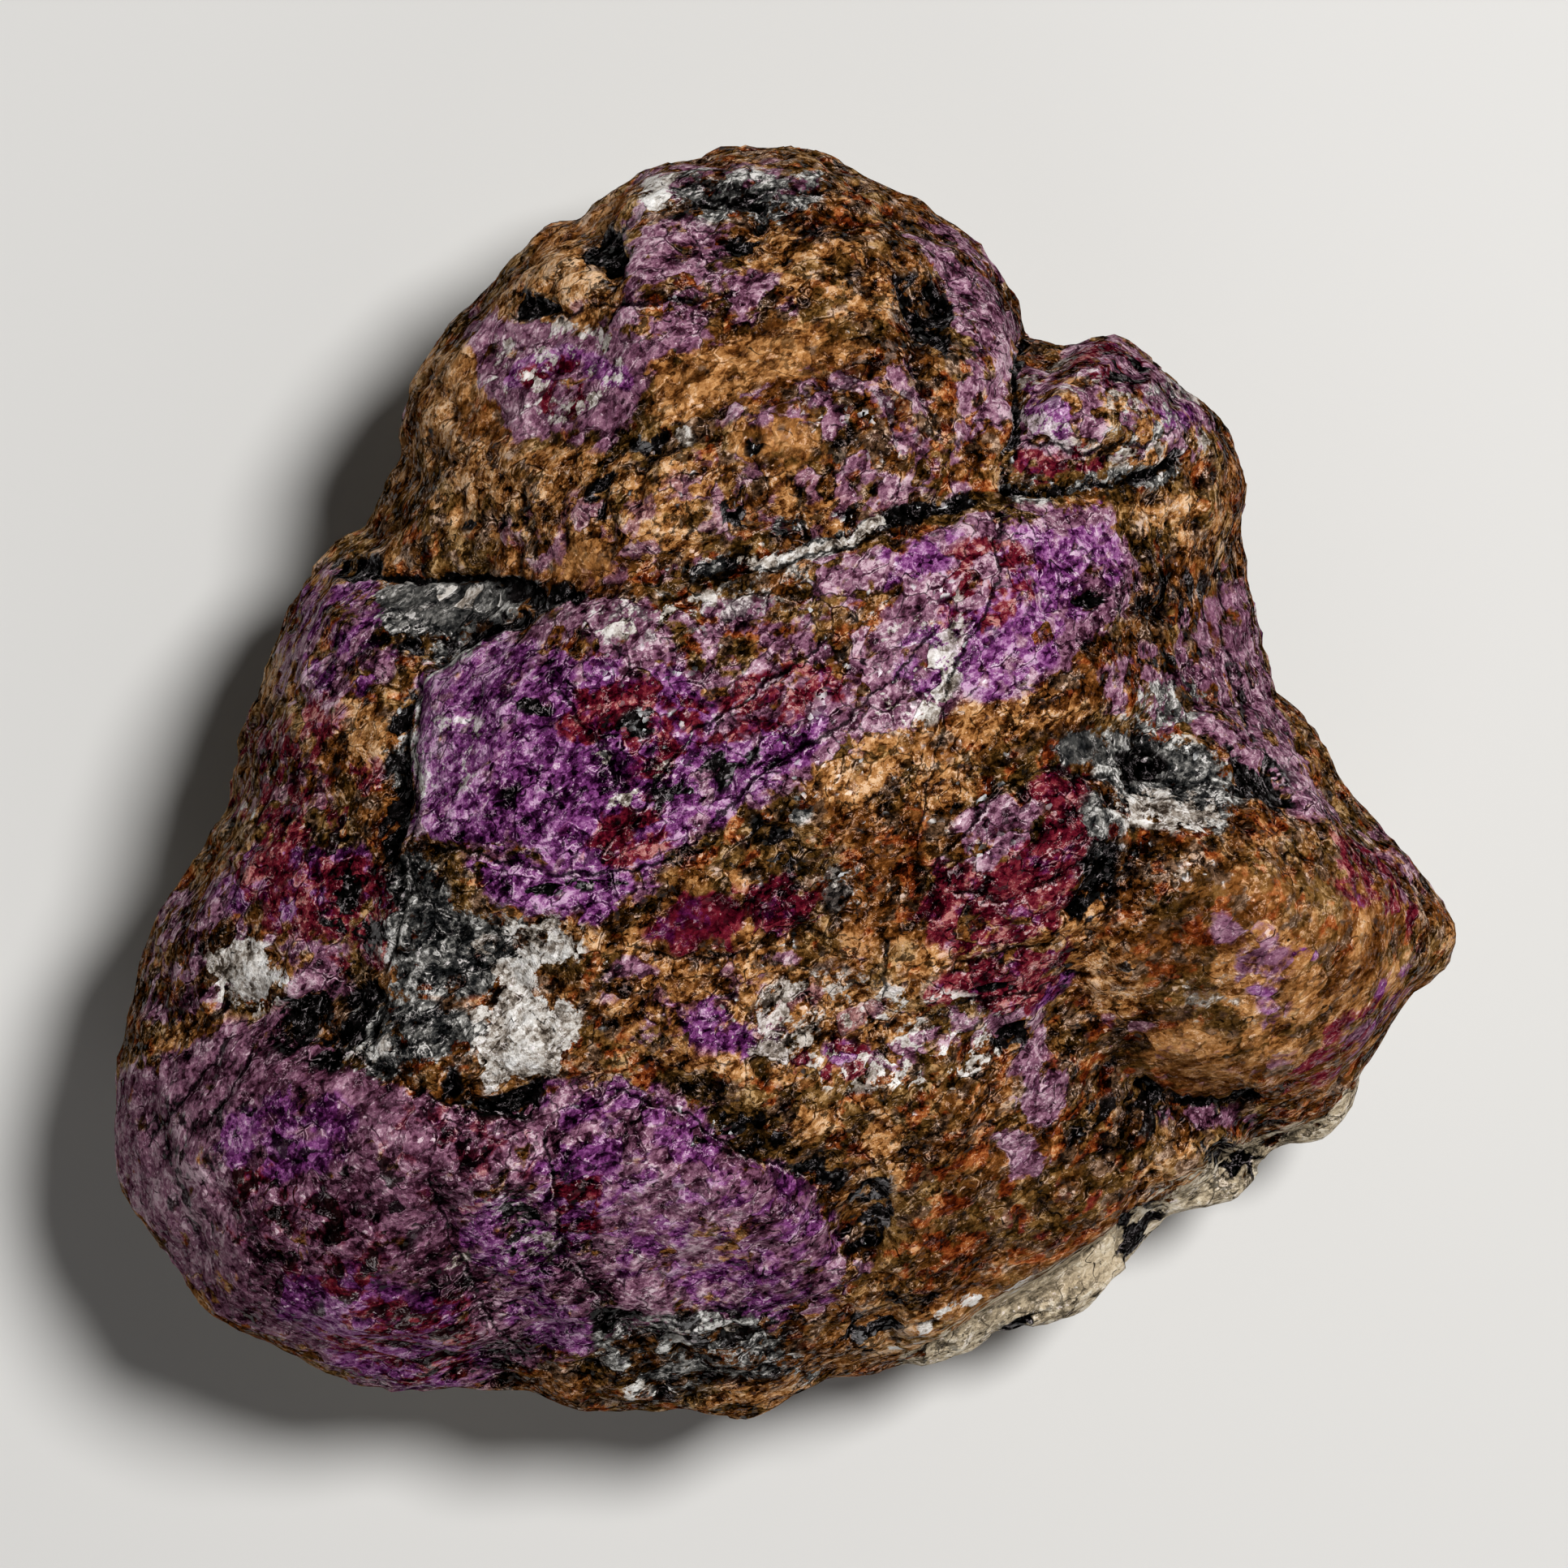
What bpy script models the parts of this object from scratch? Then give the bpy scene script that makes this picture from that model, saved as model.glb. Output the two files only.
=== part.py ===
"""A purpurite specimen: one broken, weathered lump of rock that lies on its back on a surface.

It has a domed, purple and brown face on top. A knob stands at the back (+Y) behind a deep seam, with a
small shoulder to its right. A smooth boss stands on the right above a crease, and a lobe on the left in
front. Along the front right, the brown face ends in a ledge, and the pale blocky matrix stands out below
it. The underside is a rough break that touches the ground on three feet.

The whole rock is one solid. It starts as a cube, whose points are turned into directions from the rock's
core, and each direction is given its place on the surface. Metres, +Z up, +X right, +Y back. The origin
is on the ground, below the middle of the rock.
"""

import bmesh
import bpy
import numpy as np

MM = 0.001

# Driving dimensions, in millimetres
WIDTH = 64.0  # along X, the scale that the outline is drawn to
RIM_HEIGHT = 13.5  # where the rock is widest, above the ground
TOP_RISE = 19.5  # the dome above the rim, before its lumps
UNDER_DROP = 14.0  # the bowl below the rim, before it is broken and set down
LEDGE_DROP = 4.6  # from the brown face down to the pale matrix
LEDGE_WIDTH = 0.9
UNEVENNESS = 0.8  # of the whole upper face
UNEVEN_SIZE = 9.0
BLOCK_RISE = 2.2  # of the pale matrix
BLOCK_SIZE = 4.6
BREAK_SIZE = 8.5  # of the blunt faces of the underside
CELLS_PER_SIDE = 28  # faces along each edge of the starting cube

# Depths as a share of the distance from the core
WALL_DEPTH = 0.05
BREAK_DEPTH = 0.19
FOOT_PRESS = 0.07  # how much further out the feet are, before the ground wears them flat

# Powers of the curves from the pole to the rim: 2 is an ellipse, and more is boxier
TOP_BULGE = 2.7
UNDER_BULGE = 3.2
EDGE_SHARPNESS = 45  # the larger, the sharper the edges between facets

# The plan outline, anticlockwise from the right-hand tip
OUTLINE = [
    (32.0, -7.4), (31.6, -6.3), (29.8, -3.9), (28.0, -1.8), (26.4, 0.2), (25.2, 2.4), (23.5, 4.3),
    (22.6, 6.9), (21.9, 9.6), (21.6, 12.6), (22.1, 13.9), (21.5, 15.7), (20.2, 17.8), (19.2, 18.5),
    (17.6, 20.1), (16.1, 21.0), (14.7, 21.2), (13.7, 20.3), (12.2, 20.9), (11.3, 21.0), (10.8, 22.8),
    (9.6, 24.8), (7.9, 26.5), (5.3, 27.9), (2.9, 29.3), (1.2, 30.1), (-0.6, 29.9), (-2.3, 30.2),
    (-4.2, 29.7), (-6.6, 29.0), (-8.9, 27.6), (-9.7, 26.7), (-11.1, 26.3), (-12.4, 25.1),
    (-14.5, 23.0), (-16.3, 20.9), (-17.7, 18.9), (-18.3, 16.9), (-18.2, 15.7), (-19.0, 14.0),
    (-20.1, 12.1), (-21.1, 11.7), (-22.5, 10.2), (-24.2, 7.0), (-25.0, 4.4), (-25.9, 1.7),
    (-26.4, -0.8), (-27.5, -2.8), (-29.2, -5.5), (-30.6, -7.8), (-31.0, -10.0), (-31.5, -12.4),
    (-31.9, -16.1), (-31.5, -19.2), (-30.2, -21.4), (-28.7, -23.2), (-27.8, -24.9), (-25.3, -26.2),
    (-21.1, -28.2), (-18.5, -28.9), (-14.5, -28.5), (-12.6, -28.7), (-10.3, -29.5), (-4.7, -30.0),
    (-2.3, -30.3), (-1.1, -30.2), (1.5, -28.8), (4.8, -28.2), (5.3, -27.8), (6.4, -28.0),
    (8.6, -27.6), (10.0, -26.4), (12.1, -26.2), (14.3, -25.3), (15.7, -24.0), (17.4, -22.2),
    (18.2, -20.7), (20.9, -20.2), (22.6, -19.0), (23.5, -17.4), (25.0, -17.1), (26.4, -16.7),
    (27.5, -15.0), (27.7, -14.0), (28.7, -12.4), (29.9, -10.1), (31.3, -8.7),
]  # fmt: skip

# The rim's height above RIM_HEIGHT, by its bearing in degrees from +X
RIM_SWAY = [
    (-170, -0.5), (-140, 1.5), (-100, -1.0), (-65, -4.0), (-35, -4.6), (-12, 1.5), (10, -1.0), (45, 2.0),
    (80, 4.0), (110, 3.0), (150, -0.5),
]  # fmt: skip

# Planes that the rock broke along: bearing and tilt in degrees, and the share that each leaves of the bulge
# between a plane through the rim, 0, and one that only touches the rounded form, 1
TOP_FACETS = [
    (80, 82, 0.93), (250, 80, 0.93), (95, 50, 0.74), (142, 48, 0.66), (38, 50, 0.72), (174, 46, 0.6),
    (8, 36, 0.4), (215, 50, 0.66), (268, 46, 0.62), (305, 60, 0.72), (338, 46, 0.75),
]  # fmt: skip
UNDER_FACETS = [
    (12, -40, 0.5), (62, -30, 0.45), (104, -46, 0.6), (150, -36, 0.5), (192, -50, 0.7), (232, -38, 0.45),
    (276, -48, 0.6), (316, -32, 0.4), (344, -48, 0.6),
]  # fmt: skip

# Swellings and hollows of the upper face: x, y, half length, half width, turn in degrees, height
LUMPS = {
    "knob": (-3.3, 20.6, 12.5, 8.0, 8, 1.8),
    "shoulder": (16.6, 17.4, 5.2, 3.4, -20, 2.2),
    "main_face": (-1.6, 1.0, 19.4, 9.0, 18, 1.4),
    "red_lens": (10.8, -6.2, 6.6, 4.2, 55, 1.1),
    "boss": (22.4, -9.0, 7.4, 6.4, -10, 3.2),
    "left_flank": (-24.0, 2.6, 8.0, 4.0, 70, 1.0),
    "front_lobe": (-21.5, -19.8, 9.5, 7.0, -10, 2.0),
    "front_heart": (-4.2, -20.8, 8.5, 6.0, -32, 1.6),
    "brown_slope": (10.5, -18.0, 8.5, 5.5, 20, 1.5),
    "pebble": (-0.2, 16.0, 2.0, 1.6, 0, 1.0),
    "back_left_bump": (-10.4, 24.0, 2.8, 1.8, 20, 1.2),
    "left_bump": (-16.2, 19.2, 2.6, 1.9, 60, 0.9),
    "crust_left": (-11.2, 13.4, 3.2, 2.4, 0, 0.8),
    "crust_right": (-5.2, 13.2, 2.8, 2.6, 0, 0.8),
    "quartz_pocket": (-17.0, -9.2, 5.6, 3.0, 10, -1.4),
    "small_pocket": (16.8, 0.6, 3.4, 2.0, -25, -1.5),
    "back_pit": (-8.4, 25.2, 1.6, 1.6, 0, -1.2),
    "knob_pit": (6.9, 22.0, 2.4, 1.5, 75, -1.5),
    "right_valley": (18.0, 8.2, 5.2, 2.2, 82, -1.4),
    "slope_pit": (3.8, -20.6, 1.8, 1.5, 60, -1.0),
}

# Seams across the upper face: half width, depth and the line that each follows
SEAMS = {
    "knob_seam": (1.1, 0.8, [
        (-22.3, 10.9), (-20.0, 10.1), (-14.2, 9.0), (-10.3, 9.0), (-4.5, 10.3), (1.4, 11.5), (7.2, 13.0),
        (10.7, 14.1), (18.4, 15.2), (22.0, 13.4),
    ]),
    "shoulder_seam": (1.1, 1.0, [(11.4, 21.2), (11.1, 18.9), (10.7, 14.2)]),
    "left_seam": (1.2, 0.8, [
        (-13.4, 7.8), (-16.9, 5.5), (-17.5, 2.5), (-17.9, -1.3), (-18.8, -5.2), (-20.4, -9.1),
    ]),
    "lens_seam": (1.4, 1.1, [(16.5, 1.8), (16.1, -1.7), (15.0, -4.8), (13.8, -7.6), (12.8, -11.0)]),
    "boss_crease": (1.5, 2.4, [(15.6, -13.4), (18.4, -15.0), (22.0, -15.4), (25.0, -14.6)]),
    "front_seam": (1.5, 1.1, [
        (-25.0, -10.6), (-20.0, -13.0), (-15.0, -14.9), (-10.3, -14.6), (-5.2, -13.8), (-2.5, -16.1),
        (1.7, -18.4), (4.1, -21.5),
    ]),
    "leaf_seam": (1.3, 0.8, [(-15.9, -18.6), (-14.2, -23.1), (-9.5, -27.0)]),
}  # fmt: skip

# The edge of the brown face over the pale matrix, from right to front
LEDGE = [
    (31.2, -9.4), (28.4, -12.9), (26.2, -15.6), (23.6, -16.9), (20.8, -17.4), (18.2, -19.4), (14.6, -21.8),
    (10.7, -24.2), (7.4, -26.2), (4.4, -28.8),
]  # fmt: skip

# The three feet of the underside: x, y and radius
FEET = [(-15.0, -10.0, 6.5), (12.5, -9.0, 6.5), (-1.5, 13.5, 7.0)]


def corner_number(corner, salt):
    """A number from -1 to 1 for each lattice corner, the same on every run."""
    mixed = (corner * (374761393, 668265263, 2147483647)).sum(axis=1) + salt * 1274126177
    mixed = (mixed ^ (mixed >> 13)) * 1103515245 & 0x7FFFFFFF
    mixed = (mixed ^ (mixed >> 15)) * 12345677 & 0x7FFFFFFF
    return mixed / 0x3FFFFFFF - 1


def lattice_noise(points, cell, salt):
    """Smooth noise from -1 to 1: a number for each corner of a lattice, blended across each of its cells."""
    scaled = points / cell
    corner = np.floor(scaled).astype(np.int64)
    share = scaled - corner
    share = share * share * (3 - 2 * share)
    total = np.zeros(len(points))
    for step in np.ndindex(2, 2, 2):
        weight = np.prod(np.where(step, share, 1 - share), axis=1)
        total += weight * corner_number(corner + step, salt)
    return total


def layered_noise(points, cell, salt):
    """Noise with two finer layers added, each with half the size and height of the last."""
    return sum(lattice_noise(points, cell / 2**k, salt + k) / 2**k for k in range(3))


def broken_faces(points, cell, salt):
    """Height of a broken surface: around each seed stands a tilted, barely domed face, and the highest shows."""
    home = np.floor(points / cell).astype(np.int64)
    height = np.full(len(points), -np.inf)
    for step in np.ndindex(3, 3, 3):
        corner = home + np.array(step) - 1
        jitter = np.stack([corner_number(corner, salt + k) for k in range(3)], axis=1)
        tilt = np.stack([corner_number(corner, salt + 3 + k) for k in range(3)], axis=1)
        away = points / cell - (corner + 0.5 + 0.4 * jitter)
        face = 0.35 * tilt[:, 0] + 0.8 * (away * tilt).sum(axis=1) - 0.9 * (away**2).sum(axis=1)
        height = np.maximum(height, face)
    return height


def smooth_step(value, low, high):
    share = np.clip((value - low) / (high - low), 0, 1)
    return share * share * (3 - 2 * share)


def line_distance(plan, line):
    """Distance of each plan point to a line of points, and on which side it lies: 1 is left of the line."""
    nearest = np.full(len(plan), np.inf)
    side = np.ones(len(plan))
    for start, end in zip(np.array(line[:-1]), np.array(line[1:]), strict=True):
        along = end - start
        share = np.clip((plan - start) @ along / (along @ along), 0, 1)
        away = plan - start - share[:, None] * along
        distance = np.hypot(away[:, 0], away[:, 1])
        turn = along[0] * away[:, 1] - along[1] * away[:, 0]
        closer = distance < nearest
        nearest = np.where(closer, distance, nearest)
        side = np.where(closer, np.sign(turn), side)
    return nearest, side


def outline_radius(bearing):
    """Distance from the origin to the plan outline at each bearing, its corners slightly rounded."""
    outline = np.array(OUTLINE)
    knots = np.arctan2(outline[:, 1], outline[:, 0])
    radii = np.hypot(outline[:, 0], outline[:, 1])
    turns = np.radians([-0.8, 0, 0.8])
    return sum(np.interp(bearing + turn, knots, radii, period=2 * np.pi) for turn in turns) / len(turns)


def rim_sway(bearing):
    knots, heights = np.array(RIM_SWAY).T
    return np.interp(bearing, np.radians(knots), heights, period=2 * np.pi)


def profile(share, rise, bulge):
    """How far out and how high the surface is, from its pole (share 0) to its rim (share 1).

    The curve is a superellipse, and equal steps of share are equal lengths along it."""
    turn = np.linspace(0, np.pi / 2, 400)
    out, high = np.sin(turn) ** (2 / bulge), np.cos(turn)
    lengths = np.hypot(np.diff(out) * WIDTH / 2, np.diff(high) * rise)
    travelled = np.concatenate([[0], np.cumsum(lengths)]) / lengths.sum()
    return np.interp(share, travelled, out), np.interp(share, travelled, high)


def facet_excess(points, facets):
    """How far each point stands out past the planes that the rock broke along, as a share of its distance.

    Where planes meet, it is a smooth maximum, the logarithm of a sum of powers, which rounds the edge."""
    powers = np.exp(np.full(len(points), float(EDGE_SHARPNESS)))
    for bearing, tilt, share in np.radians(facets) * (1, 1, 180 / np.pi):
        normal = np.array([np.cos(tilt) * np.cos(bearing), np.cos(tilt) * np.sin(bearing), np.sin(tilt)])
        rim_reach = (np.array(OUTLINE) @ normal[:2]).max()
        reach = points @ normal
        plane = rim_reach + share * (reach.max() - rim_reach)
        powers += np.exp(EDGE_SHARPNESS * np.minimum(reach / plane, 2))
    return np.log(powers) / EDGE_SHARPNESS - 1


def rounded_form(directions):
    """A dome over a shallower bowl, both with the plan outline and cut back by their facets.

    It gives the points, how far out each is, from 0 to 1, and how high, from -1 to 1 and 0 at the rim."""
    bearing = np.arctan2(directions[:, 1], directions[:, 0])
    lift = np.arcsin(np.clip(directions[:, 2], -1, 1)) / (np.pi / 2)
    upper = lift >= 0
    out_above, high_above = profile(1 - np.abs(lift), TOP_RISE, TOP_BULGE)
    out_below, high_below = profile(1 - np.abs(lift), UNDER_DROP, UNDER_BULGE)
    out = np.where(upper, out_above, out_below)
    high = np.where(upper, high_above, -high_below)

    radius = outline_radius(bearing) * out
    tall = high * np.where(upper, TOP_RISE, UNDER_DROP)
    points = np.column_stack([radius * np.cos(bearing), radius * np.sin(bearing), tall])
    excess = np.where(upper, facet_excess(points, TOP_FACETS), facet_excess(points, UNDER_FACETS))
    points /= (1 + smooth_step(np.abs(high), 0.0, 0.3) * excess)[:, None]
    points[:, 2] += RIM_HEIGHT + rim_sway(bearing) * out**2
    return points, out, high


def roughen(points, out, high):
    """Draw the walls in by noise, and break the underside into blunt faces with three feet."""
    rough = 0.5 + 0.5 * layered_noise(points, UNEVEN_SIZE, 5)
    wall = smooth_step(out, 0.5, 0.9) * smooth_step(high, 0.0, 0.3)
    points[:, :2] *= (1 - WALL_DEPTH * wall * np.clip(rough, 0, 2))[:, None]

    foot = np.zeros(len(points))
    for x, y, radius in FEET:
        reach = np.hypot(points[:, 0] - x, points[:, 1] - y) / radius
        foot = np.maximum(foot, np.exp(-(reach**2)))
    broken = BREAK_DEPTH * (0.3 - broken_faces(points, BREAK_SIZE, 71) + 0.25 * rough)
    shrink = smooth_step(-high, 0.0, 0.9) * (broken * (1 - foot) - FOOT_PRESS * foot)
    core = np.array([0, 0, RIM_HEIGHT])
    return core + (points - core) * (1 - shrink)[:, None]


def upper_relief(plan):
    """Height that the lumps and seams add to the upper face: bell-shaped, across ellipses and along lines."""
    height = np.zeros(len(plan))
    for x, y, length, width, turn, rise in LUMPS.values():
        cos, sin = np.cos(np.radians(turn)), np.sin(np.radians(turn))
        dx, dy = plan[:, 0] - x, plan[:, 1] - y
        reach = ((dx * cos + dy * sin) / length) ** 2 + ((dy * cos - dx * sin) / width) ** 2
        height += rise * np.exp(-(reach**1.4))
    for half_width, depth, line in SEAMS.values():
        distance, _ = line_distance(plan, line)
        height -= depth * np.exp(-((distance / half_width) ** 2))
    return height


def below_ledge(plan):
    """1 on the pale matrix outside the ledge at the front right, and 0 on the face inside it."""
    distance, side = line_distance(plan, LEDGE)
    outside = smooth_step(distance * side, -LEDGE_WIDTH / 2, LEDGE_WIDTH / 2)
    return outside * smooth_step(distance, 12.0, 6.0)


def rock_surface(directions):
    """The place on the rock's surface, in millimetres, for each direction from its core."""
    points, out, high = rounded_form(directions)
    points = roughen(points, out, high)
    plan = points[:, :2]
    fade = smooth_step(high, 0.0, 0.4)
    shelf = fade * below_ledge(plan)
    relief = upper_relief(plan) + UNEVENNESS * layered_noise(points, UNEVEN_SIZE, 11)
    blocks = BLOCK_RISE * broken_faces(points, BLOCK_SIZE, 31) - LEDGE_DROP
    points[:, 2] += fade * (1 - shelf) * relief + shelf * blocks
    points[:, 2] = np.maximum(points[:, 2], 0)
    return points


def cube_directions(cube_points):
    """Directions from the core: the cube's points spread evenly over a ball."""
    bent = np.tan(cube_points * np.pi / 4)
    return bent / np.linalg.norm(bent, axis=1, keepdims=True)


def rock_material():
    """Brown, purple-stained stone, dull with a slight glint."""
    material = bpy.data.materials.new("purple_brown_rock")
    material.use_nodes = True
    shader = material.node_tree.nodes["Principled BSDF"]
    shader.inputs["Base Color"].default_value = (0.16, 0.085, 0.11, 1)
    shader.inputs["Roughness"].default_value = 0.62
    shader.inputs["Metallic"].default_value = 0.0
    return material


def build_rock():
    """A cube with a fine grid on each side, its points moved onto the rock's surface."""
    grid = bmesh.new()
    bmesh.ops.create_cube(grid, size=2)
    bmesh.ops.subdivide_edges(grid, edges=grid.edges, cuts=CELLS_PER_SIDE - 1, use_grid_fill=True)
    mesh = bpy.data.meshes.new("purpurite_rock")
    grid.to_mesh(mesh)
    grid.free()

    cube_points = np.empty(len(mesh.vertices) * 3)
    mesh.vertices.foreach_get("co", cube_points)
    places = rock_surface(cube_directions(cube_points.reshape(-1, 3))) * MM
    mesh.vertices.foreach_set("co", places.ravel())
    mesh.shade_smooth()
    mesh.set_sharp_from_angle(angle=np.radians(50))
    mesh.materials.append(rock_material())
    rock = bpy.data.objects.new("purpurite_rock", mesh)

    specimen = bpy.data.collections.new("purpurite_specimen")
    bpy.context.scene.collection.children.link(specimen)
    specimen.objects.link(rock)


def clear_scene():
    for thing in list(bpy.data.objects):
        bpy.data.objects.remove(thing)


clear_scene()
build_rock()
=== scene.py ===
# A purpurite specimen: one broken, weathered lump of rock, lying on its back and seen from straight above.
# The scene is in metres, +Z up and +Y away from the viewer. The rock's own measures are in millimetres, and
# its stains are placed in the pixels of a square picture of it that is 1932 pixels wide.

import bpy
import numpy as np
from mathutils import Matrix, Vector


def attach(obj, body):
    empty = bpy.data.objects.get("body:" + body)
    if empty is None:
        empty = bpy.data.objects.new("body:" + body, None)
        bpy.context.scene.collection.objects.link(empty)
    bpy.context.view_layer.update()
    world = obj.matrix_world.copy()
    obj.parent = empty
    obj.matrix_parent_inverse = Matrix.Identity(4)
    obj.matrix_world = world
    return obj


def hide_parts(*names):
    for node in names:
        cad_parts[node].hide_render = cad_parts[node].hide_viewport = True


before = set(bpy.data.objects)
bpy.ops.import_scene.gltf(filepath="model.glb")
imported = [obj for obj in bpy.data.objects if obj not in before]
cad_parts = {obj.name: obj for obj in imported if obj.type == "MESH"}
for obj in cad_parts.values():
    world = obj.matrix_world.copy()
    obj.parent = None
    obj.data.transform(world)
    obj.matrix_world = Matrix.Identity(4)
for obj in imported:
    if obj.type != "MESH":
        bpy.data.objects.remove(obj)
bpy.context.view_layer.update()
mm = 0.001

# The view

view = {
    "rimHeight": 13.5,  # the height at which the picture is true to scale
    "distance": 416.7,  # from the lens to that height
    "lens": 200.0,
    "sensor": 36.0,
    "pixelsPerMm": 25.75,
    "middle": (965.0, 965.5),  # the pixel over the rock's origin
}


def seenPixels(points):
    # Each point moves outwards as it nears the lens: u = middle + scale * x * d / (d - height over the rim).
    nearer = view["distance"] / (view["distance"] - (points[:, 2] - view["rimHeight"]))
    across = points[:, 0] * nearer * view["pixelsPerMm"] + view["middle"][0]
    down = view["middle"][1] - points[:, 1] * nearer * view["pixelsPerMm"]
    return np.column_stack([across, down])


def makeCamera():
    data = bpy.data.cameras.new("lookingDown")
    data.lens = view["lens"]
    data.sensor_width = view["sensor"]
    data.clip_start, data.clip_end = 0.01, 10
    camera = bpy.data.objects.new("lookingDown", data)
    camera.location = (0, 0, (view["distance"] + view["rimHeight"]) * mm)
    bpy.context.scene.collection.objects.link(camera)
    bpy.context.scene.camera = camera


makeCamera()
print("camera made")

# The rock's form

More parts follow.
